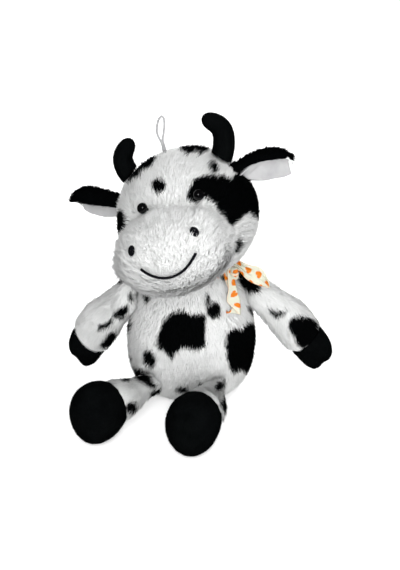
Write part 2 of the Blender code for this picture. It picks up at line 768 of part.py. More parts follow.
def ear_frame(side):
    """From the front edge of the ear's root, X runs along the ear, Y to its back and Z to its fold."""
    lateral = HEAD_RADIUS * math.sqrt(1 - EAR_UP_SHARE**2)
    root = head_point(side["sign"] * lateral, 0, EAR_UP_SHARE * HEAD_HALF_HEIGHT)
    turn = HEAD_FRAME.to_3x3().to_4x4()
    along = Matrix.Rotation(-side["ear_rise"] * side["sign"], 4, "Y")
    mirror = Matrix.Scale(side["sign"], 4, Vector((1, 0, 0)))
    sweep = Matrix.Rotation(EAR_SWEEP, 4, "Z")
    roll = Matrix.Rotation(side["ear_roll"], 4, "X")
    forward = Matrix.Translation((EAR_HINGE_OUT, -EAR_HINGE_FORWARD, 0))
    return Matrix.Translation(root) @ turn @ along @ mirror @ sweep @ roll @ forward


def ear_layer(side, name, cloth, inward, thickness, hem):
    """A folded leaf of cloth. Inward moves it in from the outer layer, and hem in from its edges."""
    bm = bmesh.new()
    bmesh.ops.create_grid(bm, x_segments=EAR_COLUMNS, y_segments=EAR_ROWS, size=1)
    for vertex in bm.verts:
        along = (vertex.co.x + 1) / 2 * (EAR_LENGTH - 2 * hem + EAR_SINK)
        across = (vertex.co.y + 1) / 2
        share = outline_share(along / (EAR_LENGTH + EAR_SINK))
        half_height = EAR_HALF_HEIGHT * share - inward
        half_depth = EAR_HALF_DEPTH * max(share, EAR_LEAST_DEPTH_SHARE) - inward
        turned_in = hem / EAR_HALF_HEIGHT
        low = EAR_LOWER_EDGE + turned_in
        angle = low + (side["ear_flap"] - turned_in - low) * across
        vertex.co = Vector(
            (
                along - EAR_SINK - EAR_HINGE_OUT,
                EAR_HINGE_FORWARD + half_depth * math.cos(angle),
                half_height * math.sin(angle),
            )
        )
    made = add_mesh_object(name, bm, ear_frame(side), cloth)
    solid = made.modifiers.new("cloth", "SOLIDIFY")
    solid.thickness = thickness
    solid.offset = 0
    cut(made, skull)


def ear(side):
    name = side["name"]
    ear_layer(side, f"ear_{name}_back", BLACK_VELOUR, 0.0, VELOUR, 0.0)
    ear_layer(side, f"ear_{name}_lining", EAR_LINING, (VELOUR + LINING) / 2 + EAR_LAYER_GAP, LINING, EAR_HEM)


for side in SIDES:
    ear(side)


# Arms and legs


def limb_frame(pivot, direction, width_axis):
    """Z runs along the limb and X across its wide side."""
    along = direction.normalized()
    across = (width_axis - along * width_axis.dot(along)).normalized()
    front = along.cross(across)
    turn = Matrix((across, front, along)).transposed().to_4x4()
    return Matrix.Translation(pivot) @ turn


def root_stations(radius, drift=0.0):
    """The ball end of a limb, from its pole to a little past its middle."""
    angles = [ROOT_ARC * index / ROOT_RINGS for index in range(ROOT_RINGS + 1)]
    return [
        (-radius * math.cos(angle), radius * math.sin(angle), radius * math.sin(angle), drift)
        for angle in angles
    ]


def torso_clearance(name, pivot, root_radius):
    """The torso with room round it, but for the socket that the limb's root lies in."""
    clear = ring_form(f"{name}_torso_clearance", inset(TORSO_STATIONS, -SEAM_GAP), TORSO_SEGMENTS)
    cut(clear, ball(f"{name}_root_room", root_radius + SOCKET_GAP - SEAM_GAP, pivot))
    return clear


def limb(name, frame, stations, cuff, segments, hoof_name, torso_room, cutters=(), shape=None):
    """A fur sleeve and a velour hoof, each open at the cuff, over one stuffing core."""
    walls = [FUR if along < cuff else VELOUR for along, *_ in stations]
    core_walls = [FUR + CORE_GAP if along < cuff else VELOUR + HOOF_CORE_GAP for along, *_ in stations]
    inner = ring_form(f"inner_{name}", inset(stations, walls), segments, frame, shape=shape)
    axis = (frame.to_3x3() @ Vector((0, 0, 1))).normalized()
    cuff_point = frame @ Vector((0, 0, cuff))
    reach = stations[-1][0]
    past_cuff = half_space(f"past_{name}_cuff", cuff_point - axis * SEAM_GAP / 2, axis, reach)
    short_of_cuff = half_space(f"short_of_{name}_cuff", cuff_point + axis * SEAM_GAP / 2, -axis, 2 * reach)
    sleeve = ring_form(f"{name}_sleeve", stations, segments, frame, WHITE_FUR, shape)
    hoof = ring_form(f"{name}_{hoof_name}", stations, segments, frame, BLACK_VELOUR, shape)
    core = ring_form(f"{name}_stuffing", inset(stations, core_walls), segments, frame, STUFFING, shape)
    cut(sleeve, inner)
    cut(sleeve, past_cuff)
    cut(sleeve, torso_room)
    cut(core, torso_room)
    cut(hoof, inner)
    cut(hoof, short_of_cuff)
    for cutter in cutters:
        cut(sleeve, cutter)
        cut(hoof, cutter)
    return sleeve, hoof, core


def arm(side):
    drop = side["arm_drop"]
    level = math.cos(drop)
    forward = side["arm_forward"]
    across = side["sign"] * level * math.cos(forward)
    direction = Vector((across, -level * math.sin(forward), -math.sin(drop)))
    down_side = Vector((0, 0, -1))
    frame = limb_frame(side["shoulder"], direction, down_side)
    stations = root_stations(ARM_ROOT_RADIUS)
    stations += [
        (along * ARM_LENGTH, width * ARM_HALF_WIDTH, width * ARM_HALF_DEPTH, drift * ARM_LENGTH)
        for along, width, drift in ARM_STATION_SHARES
    ]
    stations.append((ARM_LENGTH, 0.0, 0.0, ARM_STATION_SHARES[-1][2] * ARM_LENGTH))

    def cleft(point):
        """Draws the tip in along its middle, so the hoof ends in two toes."""
        past = (point.z / ARM_LENGTH - CLEFT_FROM_SHARE) / (1 - CLEFT_FROM_SHARE)
        if past <= 0:
            return point
        middle = ARM_STATION_SHARES[-1][2] * ARM_LENGTH
        nearness = max(0.0, 1 - abs(point.x - middle) / (ARM_HALF_WIDTH / 2))
        pinched = point.y * (1 - nearness * past / 2)
        return Vector((point.x, pinched, point.z - CLEFT_DEPTH * nearness * past))

    name = f"arm_{side['name']}"
    room = torso_clearance(name, side["shoulder"], ARM_ROOT_RADIUS)
    limb(name, frame, stations, ARM_CUFF_SHARE * ARM_LENGTH, ARM_SEGMENTS, "hoof", room, shape=cleft)


def leg(side):
    spread = side["leg_spread"] * side["sign"]
    run = Vector((math.sin(spread), -math.cos(spread), 0))
    rise = FOOT_HALF_HEIGHT - SEAT_CUT - side["hip"].z
    widest = FOOT_STATION_SHARES[2][0] * LEG_LENGTH
    direction = run * widest + Vector((0, 0, rise))
    across = Vector((0, 0, 1)).cross(run)
    frame = limb_frame(side["hip"], direction, across)
    stations = root_stations(LEG_ROOT_RADIUS)
    stations += [
        (along * LEG_LENGTH, width * LEG_HALF_WIDTH, height * LEG_HALF_HEIGHT, 0.0)
        for along, width, height in LEG_STATION_SHARES
    ]
    stations += [
        (along * LEG_LENGTH, width * FOOT_HALF_WIDTH, height * FOOT_HALF_HEIGHT, 0.0)
        for along, width, height in FOOT_STATION_SHARES
    ]
    stations.append((LEG_LENGTH, 0.0, 0.0, 0.0))
    name = f"leg_{side['name']}"
    room = torso_clearance(name, side["hip"], LEG_ROOT_RADIUS)
    limb(name, frame, stations, LEG_CUFF_SHARE * LEG_LENGTH, LEG_SEGMENTS, "hoof", room, (floor,))


for side in SIDES:
    arm(side)
    leg(side)


# Ribbon


def ribbon_collar():
    """A satin band round the neck, lower in front and higher on the cow's left."""
    bm = bmesh.new()
    for edge in (-1, 1):
        ring = bmesh.ops.create_circle(bm, segments=TORSO_SEGMENTS, radius=1)["verts"]
        for vertex in ring:
            azimuth = math.atan2(vertex.co.x, -vertex.co.y)
            share = COLLAR_HEIGHT_SHARE + COLLAR_LEFT_RISE_SHARE * math.sin(azimuth)
            share += edge * COLLAR_WIDTH / 2 / TORSO_HEIGHT - COLLAR_FRONT_DROP_SHARE * math.cos(azimuth)
            vertex.co = torso_point(share, azimuth, COLLAR_GAP + COLLAR_THICKNESS / 2)
    bmesh.ops.bridge_loops(bm, edges=bm.edges[:])
    collar = add_mesh_object("ribbon_collar", bm, cloth=RIBBON)
    solid = collar.modifiers.new("satin", "SOLIDIFY")
    solid.thickness = COLLAR_THICKNESS
    solid.offset = 0


KNOT_STANDOFF = COLLAR_GAP + COLLAR_THICKNESS + SEAM_GAP + KNOT_HALF_DEPTH
KNOT_PLACE = torso_point(KNOT_HEIGHT_SHARE, KNOT_AZIMUTH, KNOT_STANDOFF)


def ribbon_knot():
    bm = bmesh.new()
    bmesh.ops.create_cube(bm, size=2)
    for vertex in bm.verts:
        vertex.co = Vector(
            (vertex.co.x * KNOT_HALF_WIDTH, vertex.co.y * KNOT_HALF_HEIGHT, vertex.co.z * KNOT_HALF_DEPTH)
        )
    out = Vector((math.sin(KNOT_AZIMUTH), -math.cos(KNOT_AZIMUTH), 0))
    upright = Vector((0, 0, 1))
    turn = Matrix((upright.cross(out), upright, out)).transposed().to_4x4()
    knot = add_mesh_object("ribbon_knot", bm, Matrix.Translation(KNOT_PLACE) @ turn, RIBBON)
    soft = knot.modifiers.new("soft", "SUBSURF")
    soft.levels = 2
    soft.render_levels = 2


def ribbon_tail(name, stations, across, slant_share):
    """A flat strip from the knot along its stations, slanted at its end."""
    places = []
    widths = []
    for height, turn, standoff, width in stations:
        places.append(torso_point(height, turn * math.pi, standoff * RIBBON_WIDTH))
        widths.append(Vector((width * RIBBON_WIDTH / 2, 0)))
    route = smooth_route(places, TAIL_STEPS)
    half_widths = smooth_route(widths, TAIL_STEPS)
    bm = bmesh.new()
    bmesh.ops.create_grid(bm, x_segments=TAIL_STEPS, y_segments=TAIL_COLUMNS, size=1)
    for vertex in bm.verts:
        along = (vertex.co.x + 1) / 2 * (1 - slant_share * (1 - vertex.co.y) / 2)
        index = along * (len(route) - 1)
        low = min(int(index), len(route) - 2)
        place = route[low].lerp(route[low + 1], index - low)
        half_width = half_widths[low].lerp(half_widths[low + 1], index - low).x
        vertex.co = place + across * vertex.co.y * half_width
    strip = add_mesh_object(name, bm, cloth=RIBBON)
    solid = strip.modifiers.new("satin", "SOLIDIFY")
    solid.thickness = SATIN
    solid.offset = 0


ribbon_collar()
ribbon_knot()
DOWN_TAIL_TURN = DOWN_TAIL_SHARES[-1][1] * math.pi
ribbon_tail(
    "ribbon_tail_down",
    DOWN_TAIL_SHARES,
    Vector((math.cos(DOWN_TAIL_TURN), math.sin(DOWN_TAIL_TURN), 0)),
    DOWN_TAIL_SLANT_SHARE,
)
ribbon_tail(
    "ribbon_tail_side",
    SIDE_TAIL_SHARES,
    Vector((0, -math.sin(SIDE_TAIL_SLOPE), -math.cos(SIDE_TAIL_SLOPE))),
    SIDE_TAIL_SLANT_SHARE,
)


# Tail


def tail():
    """A velour cord with a round root in the back panel, and a tuft just off the floor."""
    fall = TAIL_PIVOT.z - TUFT_RADIUS - TAIL_HOVER
    places = [
        TAIL_PIVOT + Vector((0, out * TAIL_LENGTH, -down * fall)) for out, down in TAIL_ROUTE_SHARES
    ]
    shares = [1.0] * len(smooth_route(places, 2))
    cord = tube_mesh("tail_cord", smooth_route(places, 2), TAIL_RADIUS, shares, 2, WHITE_FUR)
    cut(cord, ball("tail_root", TAIL_ROOT_RADIUS, TAIL_PIVOT, segments=16), "UNION")
    back = Vector((0, 1, 0))
    middle = places[-1] + back * (TUFT_LENGTH / 2 - TAIL_RADIUS)
    frame = Matrix.Translation(middle) @ back.to_track_quat("Z", "Y").to_matrix().to_4x4()
    tuft = ring_form("tail_tuft", round_stations(TUFT_RADIUS, TUFT_LENGTH / 2, 8), 14, frame, BLACK_VELOUR)
    start = places[-2]
    end = places[-1] + back * SEAM_GAP
    cut(tuft, rod("tuft_bore", TAIL_RADIUS + SEAM_GAP, start, end, 20))


tail()


# Hang loop

CROWN = HEAD_HALF_HEIGHT + SEAM_GAP
LOOP_FOOT = head_point(LOOP_SIDE, 0, CROWN)
loop_points = [
    LOOP_FOOT + head_direction(1, 0, 0) * across + Vector((0, 0, up)) for across, up in LOOP_ROUTE
]
hang_loop = tube("hang_loop", smooth_route(loop_points, 2), LOOP_DIAMETER / 2)
hang_loop.data.materials.append(LOOP_CORD)
PARTS.objects.link(hang_loop)


# Hinges: each moving group hangs from an empty on its axis, which is the empty's Z


def hinge(name, place, axis, starts):
    pivot = bpy.data.objects.new(f"{name}_hinge", None)
    pivot.matrix_world = Matrix.Translation(place) @ axis.to_track_quat("Z", "Y").to_matrix().to_4x4()
    pivot.empty_display_size = HINGE_MARK
    CUTTERS.objects.link(pivot)
    for piece in PARTS.objects:
        if piece.name.startswith(starts):
            piece.parent = pivot
            piece.matrix_parent_inverse = pivot.matrix_world.inverted()
    return pivot


HEAD_PIECES = ("head_", "muzzle_", "eye_", "nostril_", "mouth_", "horn_", "hang_loop")
head_hinge = hinge("head", HEAD_CENTRE, head_direction(0, 0, 1), HEAD_PIECES)
for side in SIDES:
    outward = side["sign"]
    hinge(f"arm_{side['name']}", side["shoulder"], Vector((0, -outward, 0)), f"arm_{side['name']}")
    hinge(f"leg_{side['name']}", side["hip"], Vector((0, 0, outward)), f"leg_{side['name']}")
    ear_turn = ear_frame(side)
    ear_hinge = hinge(
        f"ear_{side['name']}",
        ear_turn.translation,
        (ear_turn.to_3x3() @ Vector((0, 0, -outward))).normalized(),
        f"ear_{side['name']}",
    )
    ear_hinge.parent = head_hinge
    ear_hinge.matrix_parent_inverse = head_hinge.matrix_world.inverted()
hinge("tail", TAIL_PIVOT, Vector((0, 0, 1)), "tail_")
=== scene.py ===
import math

import bmesh
import bpy
import numpy as np
from mathutils import Matrix, Vector, noise


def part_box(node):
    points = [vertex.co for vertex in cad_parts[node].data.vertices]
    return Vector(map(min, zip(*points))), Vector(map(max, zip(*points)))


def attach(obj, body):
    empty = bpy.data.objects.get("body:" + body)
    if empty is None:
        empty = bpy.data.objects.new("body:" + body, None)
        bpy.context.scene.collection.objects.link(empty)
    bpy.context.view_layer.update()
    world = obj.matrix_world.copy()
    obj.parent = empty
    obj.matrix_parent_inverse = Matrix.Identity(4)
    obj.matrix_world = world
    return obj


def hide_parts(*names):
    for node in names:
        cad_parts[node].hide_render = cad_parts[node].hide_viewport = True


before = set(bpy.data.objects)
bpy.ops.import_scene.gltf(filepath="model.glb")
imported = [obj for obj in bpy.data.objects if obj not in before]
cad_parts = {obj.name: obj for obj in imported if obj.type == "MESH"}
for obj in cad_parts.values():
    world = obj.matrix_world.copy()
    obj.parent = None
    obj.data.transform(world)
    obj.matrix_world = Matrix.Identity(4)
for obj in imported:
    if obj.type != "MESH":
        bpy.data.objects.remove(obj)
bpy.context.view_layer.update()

scene = bpy.context.scene
scene.view_settings.view_transform = "Standard"

# The comb's wander comes from a noise that starts by the clock unless it is given a seed.
noise.seed_set(1)


# The camera looks down on the sitting cow from a little to its right, as the photograph does.
# Its lens makes a pixel of a 400 by 570 picture about a millimetre at the middle of the toy.
AIM =Vector((0.009, 0.0, 0.119))
CAMERA_TURN = math.radians(-6)
CAMERA_RISE = math.radians(30)
CAMERA_DISTANCE = 0.9
LENS = 81
SENSOR = 36
PHOTO_WIDTH = 400
PHOTO_HEIGHT = 570

to_camera = Vector(
    (
        math.sin(CAMERA_TURN) * math.cos(CAMERA_RISE),
        -math.cos(CAMERA_TURN) * math.cos(CAMERA_RISE),
        math.sin(CAMERA_RISE),
    )
)
camera_turned = to_camera.to_track_quat("Z", "Y")
camera_place = AIM + to_camera * CAMERA_DISTANCE
camera = bpy.data.objects.new("camera", bpy.data.cameras.new("camera"))
camera.data.lens = LENS
camera.data.sensor_width = SENSOR
camera.data.sensor_fit = "HORIZONTAL"
camera.location = camera_place
camera.rotation_euler = camera_turned.to_euler()
scene.collection.objects.link(camera)
scene.camera = camera


def photo_places(points):
    """Where points in the scene stand in the photograph, in its pixels, as two columns."""
    turned = np.array(camera_turned.to_matrix())
    seen = (points - np.array(camera_place)) @ turned
    reach = LENS / SENSOR * PHOTO_WIDTH / -seen[:, 2]
    return np.column_stack((PHOTO_WIDTH / 2 + seen[:, 0] * reach, PHOTO_HEIGHT / 2 - seen[:, 1] * reach))


# The hang loop is one thin twisted cord, doubled and sewn into the seam at the top of the head,
# so that the toy can hang in a shop. Its two ends go into the fur side by side.
HEAD_CENTRE = Vector((-0.0036, -0.010, 0.202))
HEAD_SIDE = Vector((0.89742, -0.25733, 0.35837))
HEAD_FORWARD = Vector((-0.32090, -0.93816, 0.12993))
HEAD_UP = Vector((-0.30277, 0.23160, 0.92449))
HEAD_RADIUS = 0.069
HEAD_HALF_HEIGHT = 0.0645
LOOP_THICKNESS = 0.0022
LOOP_FOOT = HEAD_CENTRE + HEAD_SIDE * -0.003 + HEAD_UP * (HEAD_HALF_HEIGHT + 0.0003)
LOOP_SPLICE = 0.0040
LOOP_ROUTE = (
    (0.0016, 0.0),
    (0.0010, 0.0040),
    (-0.0004, 0.0090),
    (-0.0036, 0.0160),
    (-0.0044, 0.0230),
    (-0.0028, 0.0300),
    (0.0002, 0.0330),
    (0.0027, 0.0305),
    (0.0032, 0.0240),
    (0.0022, 0.0160),
    (0.0012, 0.0100),
    (0.0026, 0.0045),
    (0.0036, 0.0),
)
LOOP_TWIST_PITCH = 0.0034
LOOP_PLY_DEPTH = 0.16
LOOP_SIDES = 14


def smooth_path(points, steps):
    """The points with steps places between each two, on one smooth curve."""
    made = []
    last = len(points) - 1
    for index in range(last):
        a, b = points[max(index - 1, 0)], points[index]
        c, d = points[index + 1], points[min(index + 2, last)]
        for step in range(steps):
            t = step / steps
            bent = (a * 2 - b * 5 + c * 4 - d) * t**2 + (b * 3 - a - c * 3 + d) * t**3
            made.append(b + ((c - a) * t + bent) / 2)
    made.append(points[-1])
    return made


def shared_group(name, inputs, outputs):
    """An empty shader node group with the named inputs, which are (name, type, value), and outputs."""
    group = bpy.data.node_groups.new(name, "ShaderNodeTree")
    for label, kind, value in inputs:
        socket = group.interface.new_socket(label, in_out="INPUT", socket_type=f"NodeSocket{kind}")
        if value is not None:
            socket.default_value = value
    for label, kind in outputs:
        group.interface.new_socket(label, in_out="OUTPUT", socket_type=f"NodeSocket{kind}")
    return group, group.nodes.new("NodeGroupInput"), group.nodes.new("NodeGroupOutput")


def node(tree, kind, links=(), **settings):
    """A node with its settings, and its inputs linked or set from {input: socket or value}."""
    made = tree.nodes.new(kind)
    for key, value in settings.items():
        setattr(made, key, value)
    for key, value in dict(links).items():
        if isinstance(value, bpy.types.NodeSocket):
            tree.links.new(value, made.inputs[key])
        else:
            made.inputs[key].default_value = value
    return made


def maths(tree, operation, first, second):
    return node(tree, "ShaderNodeMath", {0: first, 1: second}, operation=operation).outputs[0]


def mixed(tree, share, first, second):
    """A colour between two others, which are sockets or values."""
    return node(tree, "ShaderNodeMix", {0: share, 6: first, 7: second}, data_type="RGBA").outputs[2]


def finish_of(name, colour, roughness, **plain):
    """A material with its Principled shader, its plain values set on the shader's own sockets."""
    made = bpy.data.materials.new(name)
    made.use_nodes = True
    shader = made.node_tree.nodes["Principled BSDF"]
    shader.inputs["Base Color"].default_value = (*colour, 1)
    shader.inputs["Roughness"].default_value = roughness
    for key, value in plain.items():
        shader.inputs[key.replace("_", " ")].default_value = value
    made.diffuse_color = (*colour, 1)
    return made, made.node_tree, shader


def hang_loop():
    foot = [LOOP_FOOT + HEAD_SIDE * across + Vector((0, 0, up)) for across, up in LOOP_ROUTE]
    route = smooth_path([foot[0] - HEAD_UP * LOOP_SPLICE, *foot, foot[-1] - HEAD_UP * LOOP_SPLICE], 6)
    bm = bmesh.new()
    plies = bm.loops.layers.uv.new("cord")
    rings = []
    gone = 0.0
    across = HEAD_FORWARD.copy()
    for index, place in enumerate(route):
        ahead = (route[min(index + 1, len(route) - 1)] - route[max(index - 1, 0)]).normalized()
        across = (across - ahead * across.dot(ahead)).normalized()
        beside = ahead.cross(across)
        if index:
            gone += (place - route[index - 1]).length
        ring = []
        for side in range(LOOP_SIDES):
            angle = 2 * math.pi * side / LOOP_SIDES
            lobe = abs(math.cos(angle - math.pi * gone / LOOP_TWIST_PITCH))
            radius = LOOP_THICKNESS / 2 * (1 - LOOP_PLY_DEPTH * (1 - lobe) ** 2)
            ring.append(bm.verts.new(place + (across * math.cos(angle) + beside * math.sin(angle)) * radius))
        rings.append((ring, gone))
    for (low, start), (high, end) in zip(rings, rings[1:]):
        for side in range(LOOP_SIDES):
            after = (side + 1) % LOOP_SIDES
            face = bm.faces.new((low[side], low[after], high[after], high[side]))
            around = (side / LOOP_SIDES, (side + 1) / LOOP_SIDES)
            for loop, uv in zip(face.loops, ((0, start), (1, start), (1, end), (0, end))):
                loop[plies].uv = (around[uv[0]], uv[1] / LOOP_TWIST_PITCH)
    bm.faces.new(list(reversed(rings[0][0])))
    bm.faces.new(rings[-1][0])
    bmesh.ops.recalc_face_normals(bm, faces=bm.faces[:])
    mesh = bpy.data.meshes.new("hang_loop_cord")
    bm.to_mesh(mesh)
    mesh.shade_smooth()
    loop = bpy.data.objects.new("hang_loop_cord", mesh)
    scene.collection.objects.link(loop)

    material, tree, shader = finish_of("twisted_cord", (0.80, 0.80, 0.79), 0.55, Sheen_Weight=0.25)
    along = node(tree, "ShaderNodeUVMap", uv_map="cord")
    turned = node(tree, "ShaderNodeMapping", {"Vector": along.outputs["UV"], "Rotation": (0, 0, 0.6)})
    strands = node(
        tree, "ShaderNodeTexWave", {"Vector": turned.outputs["Vector"], "Scale": 9.0, "Distortion": 0.6}
    )
    wear = node(
        tree,
        "ShaderNodeTexNoise",
        {"Vector": node(tree, "ShaderNodeTexCoord").outputs["Object"], "Scale": 900.0},
    )
    # The cord is painted darker in the grooves between its strands, where the bump sinks: painted shade, lighter
    # on the strands' crowns.
    shade = mixed(tree, strands.outputs["Fac"], (0.30, 0.30, 0.31, 1), (0.46, 0.46, 0.47, 1))
    tree.links.new(shade, shader.inputs["Base Color"])
    rough = node(
        tree, "ShaderNodeMapRange", {"Value": wear.outputs["Fac"], "To Min": 0.45, "To Max": 0.75}
    )
    tree.links.new(rough.outputs["Result"], shader.inputs["Roughness"])
    bump = node(
        tree, "ShaderNodeBump", {"Height": strands.outputs["Fac"], "Strength": 0.5, "Distance": 0.0002}
    )
    tree.links.new(bump.outputs["Normal"], shader.inputs["Normal"])
    mesh.materials.append(material)
    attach(loop, "head")
    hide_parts("hang_loop")


hang_loop()


# The spotted fur of torso, head, arms and legs is a long plush pile on a knitted backing cloth,
# cut in panels, sewn and stuffed. The pile is short locks that lean the way they are brushed.
LOCK_SIDES = 3
LOCK_SWELL = 2.6
LOCK_FOOT = 0.55
LOCK_BEND = 0.30
SPOT_EDGE = 3.0
SPOT_RAGGED = 0.6


def build_pile_tree():
    """Locks on a brushed cloth: each leans with the cloth's comb attribute and towards its clump."""
    tree = bpy.data.node_groups.new("brushed_pile", "GeometryNodeTree")
    face = tree.interface
    face.new_socket("Geometry", in_out="INPUT", socket_type="NodeSocketGeometry")
    for label, value in (
        ("Locks per square metre", 6e5),
        ("Closest", 0.0008),
        ("Length", 0.009),
        ("Width", 0.0011),
        ("Clumps per square metre", 4e4),
        ("Clumping", 0.4),
        ("Frizz", 0.25),
        ("Rise", 0.6),
        ("Shortest", 0.75),
    ):
        face.new_socket(label, in_out="INPUT", socket_type="NodeSocketFloat").default_value = value
    for label, value in (("Lock joints", 3), ("Seed", 1)):
        face.new_socket(label, in_out="INPUT", socket_type="NodeSocketInt").default_value = value
    face.new_socket("Pile material", in_out="INPUT", socket_type="NodeSocketMaterial")
    face.new_socket("Geometry", in_out="OUTPUT", socket_type="NodeSocketGeometry")
    given = tree.nodes.new("NodeGroupInput").outputs
    made = tree.nodes.new("NodeGroupOutput")

    def vector(operation, first, second=None, factor=None):
        links = {0: first}
        if second is not None:
            links[1] = second
        if factor is not None:
            links[3] = factor
        step = node(tree, "ShaderNodeVectorMath", links, operation=operation)
        return step.outputs["Vector"]

    def number(operation, first, second):
        return node(tree, "ShaderNodeMath", {0: first, 1: second}, operation=operation).outputs[0]

    def named(name, kind):
        step = node(tree, "GeometryNodeInputNamedAttribute", {"Name": name}, data_type=kind)
        return step.outputs["Attribute"]

    def kept(geometry, name, kind, value):
        step = node(
            tree,
            "GeometryNodeStoreNamedAttribute",
            {"Geometry": geometry, "Name": name},
            data_type=kind,
            domain="POINT",
        )
        socket = next(s for s in step.inputs if s.name == "Value" and s.enabled)
        tree.links.new(value, socket)
        return step.outputs["Geometry"]

    depth = named("pile", "FLOAT")
    scatter = node(
        tree,
        "GeometryNodeDistributePointsOnFaces",
        {
            "Mesh": given["Geometry"],
            "Distance Min": given["Closest"],
            "Density Max": given["Locks per square metre"],
            "Density Factor": number("MINIMUM", number("MULTIPLY", depth, 4.0), 1.0),
            "Seed": given["Seed"],
        },
        distribute_method="POISSON",
    )
    clumps = node(
        tree,
        "GeometryNodeDistributePointsOnFaces",
        {
            "Mesh": given["Geometry"],
            "Density": given["Clumps per square metre"],
            "Seed": number("ADD", given["Seed"], 17.0),
        },
        distribute_method="RANDOM",
    )
    place = node(tree, "GeometryNodeInputPosition").outputs["Position"]
    nearest = node(tree, "GeometryNodeSampleNearest", {"Geometry": clumps.outputs["Points"]}, domain="POINT")
    middle = node(
        tree,
        "GeometryNodeSampleIndex",
        {"Geometry": clumps.outputs["Points"], "Index": nearest.outputs["Index"]},
        data_type="FLOAT_VECTOR",
        domain="POINT",
    )
    tree.links.new(place, next(s for s in middle.inputs if s.name == "Value" and s.enabled))
    clump_place = next(s for s in middle.outputs if s.enabled)

    chance = node(
        tree,
        "FunctionNodeRandomValue",
        {"Min": (-1, -1, -1), "Max": (1, 1, 1), "Seed": given["Seed"]},
        data_type="FLOAT_VECTOR",
    ).outputs["Value"]
    own = node(tree, "FunctionNodeRandomValue", {"Seed": number("ADD", given["Seed"], 5.0)}, data_type="FLOAT")
    own = own.outputs[1]
    shared = node(
        tree,
        "FunctionNodeRandomValue",
        {"ID": nearest.outputs["Index"], "Seed": number("ADD", given["Seed"], 9.0)},
        data_type="FLOAT",
    ).outputs[1]
    swirl = node(
        tree,
        "ShaderNodeTexNoise",
        {"Vector": place, "Scale": 55.0, "Detail": 1.0},
        noise_dimensions="3D",
    ).outputs["Color"]
    swirl = vector("SCALE", vector("SUBTRACT", swirl, (0.5, 0.5, 0.5)), factor=1.6)

    points = scatter.outputs["Points"]
    outward = scatter.outputs["Normal"]
    points = kept(points, "root", "FLOAT_VECTOR", place)
    points = kept(points, "out", "FLOAT_VECTOR", outward)
    blend = number("ADD", number("MULTIPLY", own, 0.4), number("MULTIPLY", shared, 0.6))
    points = kept(points, "shade", "FLOAT", blend)

    outward = named("out", "FLOAT_VECTOR")
    comb = named("comb", "FLOAT_VECTOR")
    lean = vector("SCALE", comb, factor=number("SUBTRACT", 1.0, given["Rise"]))
    aim = vector("ADD", lean, vector("SCALE", outward, factor=given["Rise"]))
    aim = vector("ADD", aim, vector("SCALE", swirl, factor=0.25))
    aim = vector("ADD", aim, vector("SCALE", chance, factor=given["Frizz"]))
    pull = vector("SUBTRACT", clump_place, place)
    pull = vector("SCALE", pull, factor=number("DIVIDE", given["Clumping"], given["Length"]))
    aim = vector("NORMALIZE", vector("ADD", aim, pull))
    turned = node(
        tree,
        "FunctionNodeAxesToRotation",
        {0: aim, 1: vector("ADD", comb, vector("SCALE", chance, factor=0.5))},
        primary_axis="Z",
        secondary_axis="X",
    ).outputs["Rotation"]
    spread = number("SUBTRACT", 1.0, given["Shortest"])
    share = number("ADD", given["Shortest"], number("MULTIPLY", spread, own))
    size = number("MULTIPLY", number("MULTIPLY", share, given["Length"]), depth)

    lock = node(
        tree,
        "GeometryNodeMeshCone",
        {
            "Vertices": LOCK_SIDES,
            "Side Segments": given["Lock joints"],
            "Radius Top": 0.0,
            "Radius Bottom": 1.0,
            "Depth": 1.0,
        },
    ).outputs["Mesh"]
    apart = node(tree, "ShaderNodeSeparateXYZ", {0: place}).outputs
    lock = kept(lock, "along", "FLOAT", apart["Z"])
    swell = number("ADD", number("MULTIPLY", named("along", "FLOAT"), LOCK_SWELL), LOCK_FOOT)
    wide = number("DIVIDE", number("MULTIPLY", given["Width"], 0.5), given["Length"])
    swell = number("MULTIPLY", swell, wide)
    bend = number("MULTIPLY", number("POWER", apart["Z"], 2.0), LOCK_BEND)
    shaped = node(
        tree,
        "ShaderNodeCombineXYZ",
        {
            "X": number("ADD", number("MULTIPLY", apart["X"], swell), bend),
            "Y": number("MULTIPLY", apart["Y"], swell),
            "Z": apart["Z"],
        },
    ).outputs[0]
    lock = node(tree, "GeometryNodeSetPosition", {"Geometry": lock, "Position": shaped}).outputs[0]
    sown = node(
        tree,
        "GeometryNodeInstanceOnPoints",
        {"Points": points, "Instance": lock, "Rotation": turned, "Scale": size},
    )
    real = node(tree, "GeometryNodeRealizeInstances", {"Geometry": sown.outputs[0]})
    smooth = node(tree, "GeometryNodeSetShadeSmooth", {"Geometry": real.outputs[0]})
    dressed = node(
        tree,
        "GeometryNodeSetMaterial",
        {"Geometry": smooth.outputs[0], "Material": given["Pile material"]},
    )
    tree.links.new(dressed.outputs[0], made.inputs[0])
    return tree


pile_tree = build_pile_tree()


def plain_mesh(piece):
    """The piece's mesh with its modifiers done, and none left on it."""
    done = bpy.data.meshes.new_from_object(piece.evaluated_get(bpy.context.evaluated_depsgraph_get()))
    piece.modifiers.clear()
    piece.data = done
    done.name = piece.name
    return piece


